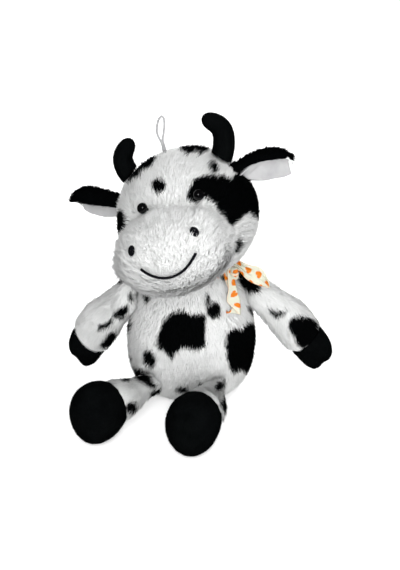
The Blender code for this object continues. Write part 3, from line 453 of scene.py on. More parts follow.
def cloth_over(name, filling, let_out, grain=0.0028, eased=8, material=None):
    """The cloth right over a stuffed form: the solid's copy, evenly meshed, eased and let out."""
    bm = bmesh.new()
    bm.from_mesh(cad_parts[filling].data)
    bmesh.ops.remove_doubles(bm, verts=bm.verts[:], dist=1e-5)
    mesh = bpy.data.meshes.new(name)
    bm.to_mesh(mesh)
    cloth = bpy.data.objects.new(name, mesh)
    scene.collection.objects.link(cloth)
    evenly = cloth.modifiers.new("evenly", "REMESH")
    evenly.mode = "VOXEL"
    evenly.voxel_size = grain
    smooth = cloth.modifiers.new("eased", "SMOOTH")
    smooth.factor = 0.5
    smooth.iterations = eased
    out = cloth.modifiers.new("let_out", "DISPLACE")
    out.strength = let_out
    out.mid_level = 0
    plain_mesh(cloth)
    cloth.data.shade_smooth()
    if material:
        cloth.data.materials.clear()
        cloth.data.materials.append(material)
    return cloth


def columns(mesh, kind="co"):
    """A mesh's vertex places or normals, one row each."""
    rows = np.empty(len(mesh.vertices) * 3)
    if kind == "co":
        mesh.vertices.foreach_get("co", rows)
    else:
        mesh.vertex_normals.foreach_get("vector", rows)
    return rows.reshape(-1, 3)


def write_rows(mesh, name, kind, rows):
    if name in mesh.attributes:
        mesh.attributes.remove(mesh.attributes[name])
    made = mesh.attributes.new(name, kind, "POINT")
    made.data.foreach_set("vector" if kind == "FLOAT_VECTOR" else "value", np.ravel(rows).astype(np.float32))


def read_rows(mesh, name, width=3):
    rows = np.empty(len(mesh.vertices) * width, dtype=np.float32)
    mesh.attributes[name].data.foreach_get("vector" if width == 3 else "value", rows)
    return rows.reshape(-1, width) if width > 1 else rows


def brushed(flow, normals):
    """A flow of directions laid flat on the cloth."""
    flat = flow - normals * np.sum(flow * normals, axis=1, keepdims=True)
    size = np.linalg.norm(flat, axis=1, keepdims=True)
    return flat / np.maximum(size, 1e-6) * np.minimum(size * 2, 1)


def grow_pile(name, cloth, depth, comb, material, seed, **sizes):
    """The pile of one panel, as its own mesh: depth is each vertex's share of the full length."""
    mesh = cloth.data.copy()
    write_rows(mesh, "pile", "FLOAT", depth)
    write_rows(mesh, "comb", "FLOAT_VECTOR", comb)
    made = bpy.data.objects.new(name, mesh)
    scene.collection.objects.link(made)
    pile = made.modifiers.new("pile", "NODES")
    pile.node_group = pile_tree
    values = dict(sizes, **{"Seed": seed, "Pile material": material})
    for socket in pile_tree.interface.items_tree:
        if socket.in_out == "INPUT" and socket.name in values:
            pile[socket.identifier] = values[socket.name]
    return plain_mesh(made)


def lay_out_locks(mesh, joints):
    """A map with one small cell for each lock, so that a baked picture keeps every lock's colour.

    The attributes that only the growing needed are taken off.
    """
    per_lock = LOCK_SIDES * joints + 1
    count = len(mesh.vertices) // per_lock
    across = math.ceil(math.sqrt(count))
    corners = np.empty(len(mesh.loops), dtype=np.int64)
    mesh.loops.foreach_get("vertex_index", corners)
    lock = corners // per_lock
    along = read_rows(mesh, "along", 1)[corners]
    order = np.arange(len(corners)) % (len(corners) // count)
    spread = (np.mod(order * 0.618, 1.0)) * 0.7 + 0.15
    places = np.column_stack(((lock % across + spread) / across, (lock // across + 0.1 + along * 0.8) / across))
    layer = mesh.uv_layers.new(name="OFBake")
    layer.data.foreach_set("uv", places.ravel().astype(np.float32))
    for spare in ("root", "comb", "pile"):
        mesh.attributes.remove(mesh.attributes[spare])


def within(outline, places):
    """Which places lie inside a closed outline."""
    inside = np.zeros(len(places), dtype=bool)
    x, y = places[:, 0], places[:, 1]
    for (ax, ay), (bx, by) in zip(outline, outline[1:] + outline[:1]):
        if ay != by:
            crosses = (ay > y) != (by > y)
            inside ^= crosses & (x < (bx - ax) * (y - ay) / (by - ay) + ax)
    return inside


def depth_inside(outline, places):
    """How deep places lie inside a closed outline, below zero where they lie outside it."""
    nearest = np.full(len(places), 1e3)
    for start, end in zip(outline, outline[1:] + outline[:1]):
        run = np.array(end) - np.array(start)
        share = np.clip((places - np.array(start)) @ run / (run @ run), 0, 1)
        away = places - np.array(start) - share[:, None] * run
        nearest = np.minimum(nearest, np.linalg.norm(away, axis=1))
    return np.where(within(outline, places), nearest, -nearest)


def oval(x, y, wide, high, turn=0.0):
    """An oval outline in photo pixels, turned clockwise by turn degrees."""
    made = []
    for step in range(14):
        angle = 2 * math.pi * step / 14
        a, b = math.cos(angle) * wide / 2, math.sin(angle) * high / 2
        c, s = math.cos(math.radians(turn)), math.sin(math.radians(turn))
        made.append((x + a * c - b * s, y + a * s + b * c))
    return made


def is_black(places, facing, seen=(), unseen=(), seed=0):
    """How black the fur is. Seen spots are outlines in the photo, unseen ones (x, y, z, radius)."""
    chance = np.random.default_rng(seed)
    drift = np.array([noise.noise_vector(Vector(p) * 130) for p in places.tolist()])
    broad = np.array([noise.noise(Vector(p) * 45) for p in places.tolist()])
    at = photo_places(places) + drift[:, :2] * 1.8 + chance.normal(0, SPOT_RAGGED, (len(places), 2))
    near = facing > -0.12 + 0.25 * broad
    black = np.zeros(len(places))
    for outline in seen:
        depth = depth_inside(list(outline), at)
        black = np.maximum(black, np.clip(0.5 + depth / SPOT_EDGE, 0, 1) * near)
    moved = places + drift * 0.0026 + chance.normal(0, 0.0005, places.shape)
    for x, y, z, radius in unseen:
        depth = radius * (1 + 0.35 * broad) - np.linalg.norm(moved - np.array((x, y, z)), axis=1)
        black = np.maximum(black, np.clip(0.5 + depth / (SPOT_EDGE * 0.001), 0, 1) * ~near)
    return black


def pile_colour_group():
    """Black or white pile: painted darker and greyer towards the root as shade between the locks, a little
    different from lock to lock.
    """
    group, given, made = shared_group(
        "pile_colour",
        (
            ("Black", "Float", 0.0),
            ("Along", "Float", 1.0),
            ("Shade", "Float", 0.5),
            ("White fur", "Color", (0.95, 0.955, 0.95, 1)),
            ("White root painted shade", "Color", (0.80, 0.815, 0.80, 1)),
            ("Black fur", "Color", (0.0014, 0.0018, 0.0020, 1)),
            ("Black root painted shade", "Color", (0.0006, 0.0008, 0.0010, 1)),
            ("Variation", "Float", 0.13),
        ),
        (("Colour", "Color"), ("Roughness", "Float")),
    )
    g = given.outputs
    # The root colours are painted shade: each lock is drawn darker towards its root, where the locks shade one
    # another.
    white = mixed(group, g["Along"], g["White root painted shade"], g["White fur"])
    black = mixed(group, g["Along"], g["Black root painted shade"], g["Black fur"])
    both = mixed(group, g["Black"], white, black)
    low = maths(group, "SUBTRACT", 1.0, g["Variation"])
    share = node(group, "ShaderNodeMapRange", {"Value": g["Shade"], "To Min": low, "To Max": 1.0})
    shaded = node(group, "ShaderNodeVectorMath", {0: both}, operation="SCALE")
    group.links.new(share.outputs["Result"], shaded.inputs["Scale"])
    group.links.new(shaded.outputs["Vector"], made.inputs["Colour"])
    rough = node(group, "ShaderNodeMapRange", {"Value": g["Shade"], "To Min": 0.72, "To Max": 0.92})
    group.links.new(rough.outputs["Result"], made.inputs["Roughness"])
    return group


pile_colour = pile_colour_group()


CLOTH_SHADE = 0.80


def pile_material(name, on_cloth, **plain):
    """The spotted pile's finish, for the locks or for the cloth that they stand on."""
    material, tree, shader = finish_of(name, (0.8, 0.8, 0.79), 0.85, **plain)
    black = node(tree, "ShaderNodeAttribute", attribute_name="black")
    colour = node(tree, "ShaderNodeGroup", node_tree=pile_colour)
    tree.links.new(black.outputs["Fac"], colour.inputs["Black"])
    if on_cloth:
        weave = node(
            tree,
            "ShaderNodeTexNoise",
            {"Vector": node(tree, "ShaderNodeTexCoord").outputs["Object"], "Scale": 700.0, "Detail": 3.0},
        )
        tree.links.new(weave.outputs["Fac"], colour.inputs["Shade"])
        # The cloth between the locks is painted in the roots' shade, about a third of the way from root to tip.
        colour.inputs["Along"].default_value = 0.35
        bump = node(
            tree, "ShaderNodeBump", {"Height": weave.outputs["Fac"], "Strength": 0.6, "Distance": 0.001}
        )
        tree.links.new(bump.outputs["Normal"], shader.inputs["Normal"])
    else:
        for label, attribute in (("Along", "along"), ("Shade", "shade")):
            read = node(tree, "ShaderNodeAttribute", attribute_name=attribute)
            tree.links.new(read.outputs["Fac"], colour.inputs[label])
        cloth_way = node(tree, "ShaderNodeAttribute", attribute_name="out")
        turned = node(
            tree,
            "ShaderNodeVectorTransform",
            {0: cloth_way.outputs["Vector"]},
            vector_type="NORMAL",
            convert_from="OBJECT",
            convert_to="WORLD",
        )
        own_way = node(tree, "ShaderNodeNewGeometry")
        both = node(
            tree,
            "ShaderNodeMix",
            {0: CLOTH_SHADE, 4: own_way.outputs["Normal"], 5: turned.outputs[0]},
            data_type="VECTOR",
        )
        smooth = node(tree, "ShaderNodeVectorMath", {0: both.outputs[1]}, operation="NORMALIZE")
        tree.links.new(smooth.outputs[0], shader.inputs["Normal"])
    shader.inputs["Specular IOR Level"].default_value = 0.02
    tree.links.new(colour.outputs["Colour"], shader.inputs["Base Color"])
    tree.links.new(colour.outputs["Roughness"], shader.inputs["Roughness"])
    return material


spotted_pile = pile_material("spotted_pile", False)
spotted_cloth = pile_material("spotted_cloth", True)


def dress_pile(made, body, stands_for, seen=(), unseen=(), joints=2, seed=0):
    """Gives a grown pile its black locks, its map and its place in the toy."""
    mesh = made.data
    per_lock = LOCK_SIDES * joints + 1
    roots = read_rows(mesh, "root").astype(float)[::per_lock]
    facing = read_rows(mesh, "out").astype(float)[::per_lock] @ np.array(to_camera)
    tip = int(np.argmax(read_rows(mesh, "along", 1)[:per_lock]))
    shown = roots * 0.3 + columns(mesh)[tip::per_lock] * 0.7
    black = is_black(shown, facing, seen, unseen, seed)
    write_rows(mesh, "black", "FLOAT", np.repeat(black, per_lock))
    lay_out_locks(mesh, joints)
    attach(made, body)
    if stands_for:
        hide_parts(*stands_for)
    return made


def spot_cloth(cloth, seen=(), unseen=(), seed=0):
    """Colours a backing cloth under its pile with the same spots."""
    mesh = cloth.data
    facing = columns(mesh, "normal") @ np.array(to_camera)
    write_rows(mesh, "black", "FLOAT", is_black(columns(mesh), facing, seen, unseen, seed))


def keep_off_floor(mesh, height=0.0004):
    """Presses what would sink into the floor flat on it."""
    rows = columns(mesh)
    rows[:, 2] = np.maximum(rows[:, 2], height)
    mesh.vertices.foreach_set("co", rows.ravel())
    mesh.update()


# The torso is a stuffed egg of three fur panels, with a seam down the middle of the belly and one
# down each side. The fur is brushed down, and each spot ends where the pattern piece was cut.
TORSO_HEIGHT = 0.1605
TORSO_HALF_WIDTH = 0.0675
TORSO_HALF_DEPTH = 0.058
TORSO_PROFILE = np.array(
    (
        (-0.10, 0.30), (0.002, 0.38), (0.016, 0.60), (0.05, 0.77), (0.12, 0.91), (0.23, 0.98),
        (0.35, 1.0), (0.48, 0.98), (0.61, 0.915), (0.73, 0.82), (0.85, 0.675), (0.93, 0.59),
        (1.02, 0.55), (1.12, 0.40), (1.17, 0.0),
    )
)
TORSO_FUR = {
    "Length": 0.0082,
    "Width": 0.00095,
    "Locks per square metre": 1.05e6,
    "Closest": 0.0007,
    "Lock joints": 2,
    "Rise": 0.50,
    "Frizz": 0.12,
    "Clumping": 0.20,
}
LOW_BAND = [(133, 367), (141, 370), (150, 377), (157, 386), (152, 390), (143, 384), (135, 379)]
BELLY_SPOTS = [
    [
        (156, 342), (160, 328), (165, 320), (173, 313), (183.5, 311.6), (190, 314), (194.7, 316.7),
        (201.8, 313.7), (207, 314.7), (207, 347), (201.8, 350.4), (181.4, 351.4), (176, 356),
        (171.2, 360.6), (167, 356), (164, 351.4), (158, 350.4),
    ],
    oval(146.2, 298.4, 6, 12, -10),
    oval(126, 326.4, 9, 17),
    oval(149.3, 360.1, 12, 18, -20),
    oval(127, 361, 8, 9),
    LOW_BAND,
    oval(182, 391, 15, 6),
    oval(199.8, 388, 5, 6),
]
SHOULDER_SPOT = [(234, 270), (242, 272), (252, 279), (262, 286), (260, 294), (249, 295), (241, 287)]
LEFT_BELLY_SPOTS = [
    oval(214.6, 311.6, 16, 17),
    oval(208, 301, 6, 12),
    oval(225, 277, 7, 12),
    [
        (225, 343), (227, 334), (234.5, 328), (241.6, 331), (248.8, 323), (262, 326), (268, 351),
        (262, 367), (247.8, 378), (242.7, 371), (233.5, 375), (228.4, 367),
    ],
    oval(219.7, 386, 11, 9, -25),
    oval(251.5, 312, 5, 11, -30),
    SHOULDER_SPOT,
]
BACK_SPOTS = [
    (0.030, 0.050, 0.110, 0.018),
    (-0.028, 0.052, 0.080, 0.020),
    (0.012, 0.056, 0.062, 0.010),
    (-0.045, 0.036, 0.125, 0.011),
    (0.050, 0.030, 0.055, 0.014),
    (-0.055, 0.022, 0.045, 0.013),
    (0.008, 0.046, 0.135, 0.008),
]
BELLY_SEAM = 0.0085


def torso_share(places):
    """How far out of the torso's middle a place is, 1 at its fur's tips."""
    width = np.interp(places[:, 2] / TORSO_HEIGHT, TORSO_PROFILE[:, 0], TORSO_PROFILE[:, 1])
    reach = np.hypot(places[:, 0] / TORSO_HALF_WIDTH, places[:, 1] / TORSO_HALF_DEPTH)
    return reach / np.maximum(width, 0.02)


def torso_place(height_share, angle, standoff):
    """A place on the torso's fur. The angle runs from the front to the cow's left."""
    width = np.interp(height_share, TORSO_PROFILE[:, 0], TORSO_PROFILE[:, 1])
    out = Vector((math.sin(angle) / TORSO_HALF_WIDTH, -math.cos(angle) / TORSO_HALF_DEPTH, 0)).normalized()
    skin = Vector(
        (
            width * TORSO_HALF_WIDTH * math.sin(angle),
            -width * TORSO_HALF_DEPTH * math.cos(angle),
            height_share * TORSO_HEIGHT,
        )
    )
    return skin + out * standoff


def near_ball(places, centre, radius, fade=0.006):
    """0 inside a ball, 1 well outside it."""
    away = np.linalg.norm(places - np.array(centre), axis=1) - radius
    return np.clip(away / fade, 0, 1)


def torso():
    cloth = cloth_over("torso_cloth", "torso_stuffing", 0.0026, material=spotted_cloth)
    mesh = cloth.data
    places, normals = columns(mesh), columns(mesh, "normal")
    wander = np.array([noise.noise_vector(Vector(p) * 22) for p in places.tolist()])
    flow = np.array((0, 0, -1.0)) + wander * 0.55
    comb = brushed(flow, normals)
    free = near_ball(places, HEAD_CENTRE, 0.062, 0.008)
    under = np.clip(places[:, 2] / 0.012, 0.25, 1)
    parting = 1 - 0.45 * np.exp(-(((places[:, 0] - BELLY_SEAM) / 0.0018) ** 2)) * (places[:, 1] < 0)
    depth = free * under * parting
    side_seam = places[:, 1] > 0.004
    on_right = places[:, 0] < BELLY_SEAM
    panels = (
        ("torso_front_right_fur", "torso_front_right_panel", on_right & ~side_seam, BELLY_SPOTS, 3),
        ("torso_front_left_fur", "torso_front_left_panel", ~on_right & ~side_seam, LEFT_BELLY_SPOTS, 4),
        ("torso_back_fur", "torso_back_panel", side_seam, [], 5),
    )
    for name, panel, part, seen, seed in panels:
        fur = grow_pile(name, cloth, depth * part, comb, spotted_pile, seed, **TORSO_FUR)
        keep_off_floor(fur.data)
        dress_pile(fur, "torso", [panel], seen, BACK_SPOTS, seed=seed)
    spot_cloth(cloth, BELLY_SPOTS + LEFT_BELLY_SPOTS, BACK_SPOTS)
    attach(cloth, "torso")
    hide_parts("torso_stuffing")


torso()

# The head is two fur panels over a stuffed ball, joined by a seam that runs over the crown between
# the ears. The fur is brushed away from the muzzle, and a big black patch surrounds the left eye.
HEAD_FUR = {
    "Length": 0.0078,
    "Width": 0.0009,
    "Locks per square metre": 1.1e6,
    "Closest": 0.0007,
    "Lock joints": 2,
    "Rise": 0.48,
    "Frizz": 0.12,
    "Clumping": 0.20,
}
MUZZLE_HALF_WIDTH = 0.057
MUZZLE_HALF_HEIGHT = 0.042
MUZZLE_HALF_LENGTH = 0.048
MUZZLE_SIDE = -0.0028
MUZZLE_FORWARD = 0.0593
MUZZLE_DROP = 0.0128
HEAD_SPOTS = [
    oval(159, 184.6, 15, 14),
    [
        (110, 188), (114, 181), (126, 170), (134, 165), (141, 160), (150, 155), (157, 157), (152, 165),
        (143, 169), (139, 176), (130, 180), (121, 183),
    ],
    [(178, 149), (186, 140), (200, 138), (210, 143), (208, 151), (201, 154), (196, 151), (187, 153)],
    oval(119, 222, 12, 24, 8),
    oval(214, 166, 9, 13, -20),
    [
        (192.8, 179), (205.7, 173), (220, 174), (232.5, 178), (238, 170), (250, 164), (266, 180),
        (268, 204), (262, 222), (256.6, 218), (250, 211), (241, 219), (232.5, 227.5), (227, 222),
        (221, 212), (214.6, 202.5), (208, 197), (203, 194.5), (201, 199), (198, 204), (193, 201),
        (187, 196.5), (189, 187),
    ],
    [(240, 236), (245, 243), (239, 253), (229, 254), (231, 247)],
]
BACK_OF_HEAD_SPOTS = [
    (-0.020, 0.052, 0.205, 0.020),
    (0.030, 0.040, 0.235, 0.017),
    (0.050, 0.020, 0.195, 0.016),
    (-0.055, 0.030, 0.180, 0.012),
    (0.012, 0.050, 0.172, 0.012),
    (-0.005, 0.035, 0.252, 0.010),
]


def head_place(side, forward, up):
    return HEAD_CENTRE + HEAD_SIDE * side + HEAD_FORWARD * forward + HEAD_UP * up


def in_head_frame(places):
    """Places as side, forward and up of the head's middle."""
    axes = np.array((HEAD_SIDE, HEAD_FORWARD, HEAD_UP)).T
    return (places - np.array(HEAD_CENTRE)) @ axes


def muzzle_share(places):
    """How far out of the muzzle's middle a place is, 1 at its fur's tips."""
    own = in_head_frame(places) - np.array((MUZZLE_SIDE, MUZZLE_FORWARD, -MUZZLE_DROP))
    return np.linalg.norm(own / np.array((MUZZLE_HALF_WIDTH, MUZZLE_HALF_LENGTH, MUZZLE_HALF_HEIGHT)), axis=1)


def head():
    cloth = cloth_over("head_cloth", "head_stuffing", 0.0027, material=spotted_cloth)
    mesh = cloth.data
    places, normals = columns(mesh), columns(mesh, "normal")
    own = in_head_frame(places)
    wander = np.array([noise.noise_vector(Vector(p) * 24) for p in places.tolist()])
    away = places - np.array(head_place(MUZZLE_SIDE, MUZZLE_FORWARD, -MUZZLE_DROP))
    away /= np.linalg.norm(away, axis=1, keepdims=True)
    comb = brushed(away + wander * 0.6, normals)
    depth = np.clip((muzzle_share(places) - 0.86) / 0.10, 0, 1)
    depth *= np.clip((torso_share(places) - 0.80) / 0.14, 0, 1)
    ahead = own[:, 1] > 0
    for name, panel, part, seen, seed in (
        ("head_front_fur", "head_front_panel", ahead, HEAD_SPOTS, 11),
        ("head_back_fur", "head_back_panel", ~ahead, HEAD_SPOTS, 12),
    ):
        fur = grow_pile(name, cloth, depth * part, comb, spotted_pile, seed, **HEAD_FUR)
        dress_pile(fur, "head", [panel], seen, BACK_OF_HEAD_SPOTS, seed=seed)
    spot_cloth(cloth, HEAD_SPOTS, BACK_OF_HEAD_SPOTS)
    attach(cloth, "head")
    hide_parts("head_stuffing")


head()


# The muzzle is one gathered panel of longer, finer white fur over its own stuffing. It is brushed
# outwards from between the nostrils, and the nostrils and the mouth are stitched through it.
MUZZLE_FUR = {
    "Length": 0.0105,
    "Width": 0.00075,
    "Locks per square metre": 1.7e6,
    "Closest": 0.00055,
    "Lock joints": 2,
    "Frizz": 0.12,
    "Rise": 0.42,
    "Clumping": 0.35,
}
NOSTRILS = ((0.60, 0.44), (-0.40, 0.44))
MOUTH_HALF_WIDTH = 0.41
MOUTH_MIDDLE = 0.12
MOUTH_END = 0.02
MOUTH_DIP = 0.26
MOUTH_STEPS = 40


def muzzle_place(side, up):
    """A place on the muzzle's front by shares of its half width and height, and its way out."""
    forward = math.sqrt(1 - side**2 - up**2)
    out = (
        HEAD_SIDE * (side / MUZZLE_HALF_WIDTH)
        + HEAD_FORWARD * (forward / MUZZLE_HALF_LENGTH)
        + HEAD_UP * (up / MUZZLE_HALF_HEIGHT)
    ).normalized()
    place = head_place(
        MUZZLE_SIDE + side * MUZZLE_HALF_WIDTH,
        MUZZLE_FORWARD + forward * MUZZLE_HALF_LENGTH,
        -MUZZLE_DROP + up * MUZZLE_HALF_HEIGHT,
    )
    return place, out


mouth_route = []
for step in range(MOUTH_STEPS + 1):
    across = 2 * step / MOUTH_STEPS - 1
    mouth_route.append(
        muzzle_place(MOUTH_MIDDLE + across * MOUTH_HALF_WIDTH, MOUTH_END - MOUTH_DIP * (1 - across**2))
    )


def muzzle():
    cloth = cloth_over("muzzle_cloth", "muzzle_stuffing", 0.0024, grain=0.0024, material=spotted_cloth)
    mesh = cloth.data
    places, normals = columns(mesh), columns(mesh, "normal")
    wander = np.array([noise.noise_vector(Vector(p) * 26) for p in places.tolist()])
    own = in_head_frame(places)
    over_and_down = np.cross(normals, np.array(HEAD_SIDE))
    outwards = (own[:, :1] - MUZZLE_SIDE) / MUZZLE_HALF_WIDTH * np.array(HEAD_SIDE)
    comb = brushed(over_and_down + outwards * 0.45 - np.array(HEAD_UP) * 0.2 + wander * 0.22, normals)
    depth = np.clip((np.linalg.norm(own / np.array((0.069, 0.069, 0.0645)), axis=1) - 0.90) / 0.08, 0, 1)
    for side, up in NOSTRILS:
        depth *= near_ball(places, muzzle_place(side, up)[0] - HEAD_FORWARD * 0.004, 0.0040, 0.004)
    line = np.min([np.linalg.norm(places - np.array(p - out * 0.005), axis=1) for p, out in mouth_route], axis=0)
    depth *= 0.45 + 0.55 * np.clip((line - 0.0018) / 0.003, 0, 1)
    fur = grow_pile("muzzle_fur", cloth, depth, comb, spotted_pile, 21, **MUZZLE_FUR)
    dress_pile(fur, "head", ["muzzle_panel"], seed=21)
    spot_cloth(cloth)
    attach(cloth, "head")
    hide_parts("muzzle_stuffing")


muzzle()


# Each eye is a glossy black safety eye: a moulded ball on a shank that goes through the fur, held
# by a lock washer inside the head.
EYE_RADIUS = 0.005
EYE_PLACES = (("left", 0.48, 0.38, 0.0030), ("right", -0.24, 0.43, 0.0030))


def skull_place(side, up):
    """A place on the front of the head's fur by shares of its radius, and its way out."""
    side, up = side * HEAD_RADIUS, up * HEAD_RADIUS
    forward = HEAD_RADIUS * math.sqrt(1 - (side / HEAD_RADIUS) ** 2 - (up / HEAD_HALF_HEIGHT) ** 2)
    out = (
        HEAD_SIDE * (side / HEAD_RADIUS**2)
        + HEAD_FORWARD * (forward / HEAD_RADIUS**2)
        + HEAD_UP * (up / HEAD_HALF_HEIGHT**2)
    ).normalized()
    return head_place(side, forward, up), out


def eyes():
    gloss, tree, shader = finish_of("gloss_eye", (0.0006, 0.0006, 0.0008), 0.07)
    shader.inputs["Specular IOR Level"].default_value = 0.50
    haze = node(
        tree,
        "ShaderNodeTexNoise",
        {"Vector": node(tree, "ShaderNodeTexCoord").outputs["Object"], "Scale": 1400.0, "Detail": 4.0},
    )
    rough = node(tree, "ShaderNodeMapRange", {"Value": haze.outputs["Fac"], "To Min": 0.02, "To Max": 0.07})
    tree.links.new(rough.outputs["Result"], shader.inputs["Roughness"])
    for name, side, up, sink in EYE_PLACES:
        skin, out = skull_place(side, up)
        centre = skin + out * (EYE_RADIUS - sink)
        turn = out.to_track_quat("Z", "Y").to_matrix().to_4x4()
        bm = bmesh.new()
        bmesh.ops.create_uvsphere(bm, u_segments=40, v_segments=28, radius=EYE_RADIUS)
        for vertex in bm.verts:
            vertex.co.z *= 0.92 if vertex.co.z > 0 else 0.6
        shank = bmesh.ops.create_cone(
            bm, cap_ends=True, segments=20, radius1=0.0011, radius2=0.0014, depth=0.011,
            matrix=Matrix.Translation((0, 0, -0.0075)),
        )
        bmesh.ops.transform(bm, matrix=Matrix.Translation(centre) @ turn, verts=bm.verts[:])
        mesh = bpy.data.meshes.new(f"eye_{name}_ball")
        bm.to_mesh(mesh)
        mesh.shade_smooth()
        mesh.materials.append(gloss)
        ball = bpy.data.objects.new(f"eye_{name}_ball", mesh)
        scene.collection.objects.link(ball)
        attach(ball, "head")
        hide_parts(f"eye_{name}")

    milky, tree, shader = finish_of("washer_plastic", (0.72, 0.72, 0.70), 0.45)
    flow = node(
        tree,
        "ShaderNodeTexNoise",
        {"Vector": node(tree, "ShaderNodeTexCoord").outputs["Object"], "Scale": 260.0, "Detail": 3.0},
    )
    tint = mixed(tree, flow.outputs["Fac"], (0.62, 0.62, 0.60, 1), (0.78, 0.78, 0.76, 1))
    tree.links.new(tint, shader.inputs["Base Color"])
    for name in ("left", "right"):
        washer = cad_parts[f"eye_washer_{name}"]
        washer.data.materials.clear()
        washer.data.materials.append(milky)


eyes()


# The nostrils are satin stitches of black floss, side by side over an oval, and the mouth is one
# line of back stitches in the same floss. Both are sewn through the fur and press it down.
FLOSS_THICKNESS = 0.00055
NOSTRIL_HALF_WIDTH = 0.0038
NOSTRIL_HALF_HEIGHT = 0.0046
NOSTRIL_CROWN = 0.0009
MOUTH_STITCH = 0.0042
MOUTH_THICKNESS = 0.0024
MOUTH_LIFT = 0.0013

black_floss, tree, shader = finish_of("black_floss", (0.003, 0.003, 0.004), 0.6)
shader.inputs["Specular IOR Level"].default_value = 0.04
ply = node(
    tree,
    "ShaderNodeTexNoise",
    {"Vector": node(tree, "ShaderNodeTexCoord").outputs["Object"], "Scale": 2200.0, "Detail": 2.0},
)
tint = mixed(tree, ply.outputs["Fac"], (0.001, 0.001, 0.002, 1), (0.007, 0.007, 0.009, 1))
tree.links.new(tint, shader.inputs["Base Color"])
bump = node(tree, "ShaderNodeBump", {"Height": ply.outputs["Fac"], "Strength": 0.4, "Distance": 0.0001})
tree.links.new(bump.outputs["Normal"], shader.inputs["Normal"])


def build_stitch_tree():
    """Stitches along a curve: each is a thread that dips at both ends, its width from the curve."""
    tree = bpy.data.node_groups.new("stitches", "GeometryNodeTree")
    face = tree.interface
    face.new_socket("Geometry", in_out="INPUT", socket_type="NodeSocketGeometry")
    for label, value in (("Spacing", 0.004), ("Stitch length", 0.004), ("Thickness", 0.001), ("Dip", 0.0006)):
        face.new_socket(label, in_out="INPUT", socket_type="NodeSocketFloat").default_value = value
    face.new_socket("Thread", in_out="INPUT", socket_type="NodeSocketMaterial")
    face.new_socket("Geometry", in_out="OUTPUT", socket_type="NodeSocketGeometry")
    given = tree.nodes.new("NodeGroupInput").outputs
    made = tree.nodes.new("NodeGroupOutput")
    points = node(
        tree,
        "GeometryNodeCurveToPoints",
        {"Curve": given["Geometry"], "Length": given["Spacing"]},
        mode="LENGTH",
    ).outputs
    half = node(tree, "ShaderNodeMath", {0: given["Stitch length"], 1: 0.5}, operation="MULTIPLY").outputs[0]
    back = node(tree, "ShaderNodeMath", {0: half, 1: -1.0}, operation="MULTIPLY").outputs[0]
    dip = node(tree, "ShaderNodeMath", {0: given["Dip"], 1: -1.0}, operation="MULTIPLY").outputs[0]
    low = node(tree, "ShaderNodeCombineXYZ", {"X": dip, "Z": back}).outputs[0]
    high = node(tree, "ShaderNodeCombineXYZ", {"X": dip, "Z": half}).outputs[0]
    crown = node(tree, "ShaderNodeCombineXYZ", {"X": given["Dip"]}).outputs[0]
    path = node(
        tree,
        "GeometryNodeCurveQuadraticBezier",
        {"Resolution": 8, "Start": low, "Middle": crown, "End": high},
    ).outputs[0]
    radius = node(tree, "ShaderNodeMath", {0: given["Thickness"], 1: 0.5}, operation="MULTIPLY").outputs[0]
    ring = node(tree, "GeometryNodeCurvePrimitiveCircle", {"Resolution": 8, "Radius": radius}).outputs[0]
    thread = node(
        tree, "GeometryNodeCurveToMesh", {"Curve": path, "Profile Curve": ring, "Fill Caps": True}
    ).outputs[0]
    sewn = node(
        tree,
        "GeometryNodeInstanceOnPoints",
        {"Points": points["Points"], "Instance": thread, "Rotation": points["Rotation"]},
    ).outputs[0]
    real = node(tree, "GeometryNodeRealizeInstances", {"Geometry": sewn}).outputs[0]
    smooth = node(tree, "GeometryNodeSetShadeSmooth", {"Geometry": real}).outputs[0]
    dressed = node(tree, "GeometryNodeSetMaterial", {"Geometry": smooth, "Material": given["Thread"]}).outputs[0]
    tree.links.new(dressed, made.inputs[0])
    return tree


stitch_tree = build_stitch_tree()


def sew(name, route, material, **sizes):
    """A row of stitches along a route of (place, way out)."""
    curve = bpy.data.curves.new(name, "CURVE")
    curve.dimensions = "3D"
    line = curve.splines.new("POLY")
    line.points.add(len(route) - 1)
    for point, (place, out) in zip(line.points, route):
        point.co = (*place, 1)
    curve.twist_mode = "Z_UP"
    seam = bpy.data.objects.new(name, curve)
    scene.collection.objects.link(seam)
    stitches = seam.modifiers.new("stitches", "NODES")
    stitches.node_group = stitch_tree
    values = dict(sizes, **{"Thread": material})
    for socket in stitch_tree.interface.items_tree:
        if socket.in_out == "INPUT" and socket.name in values:
            stitches[socket.identifier] = values[socket.name]
    mesh = bpy.data.meshes.new_from_object(seam.evaluated_get(bpy.context.evaluated_depsgraph_get()))
    bpy.data.objects.remove(seam)
    mesh.name = name
    made = bpy.data.objects.new(name, mesh)
    scene.collection.objects.link(made)
    return made


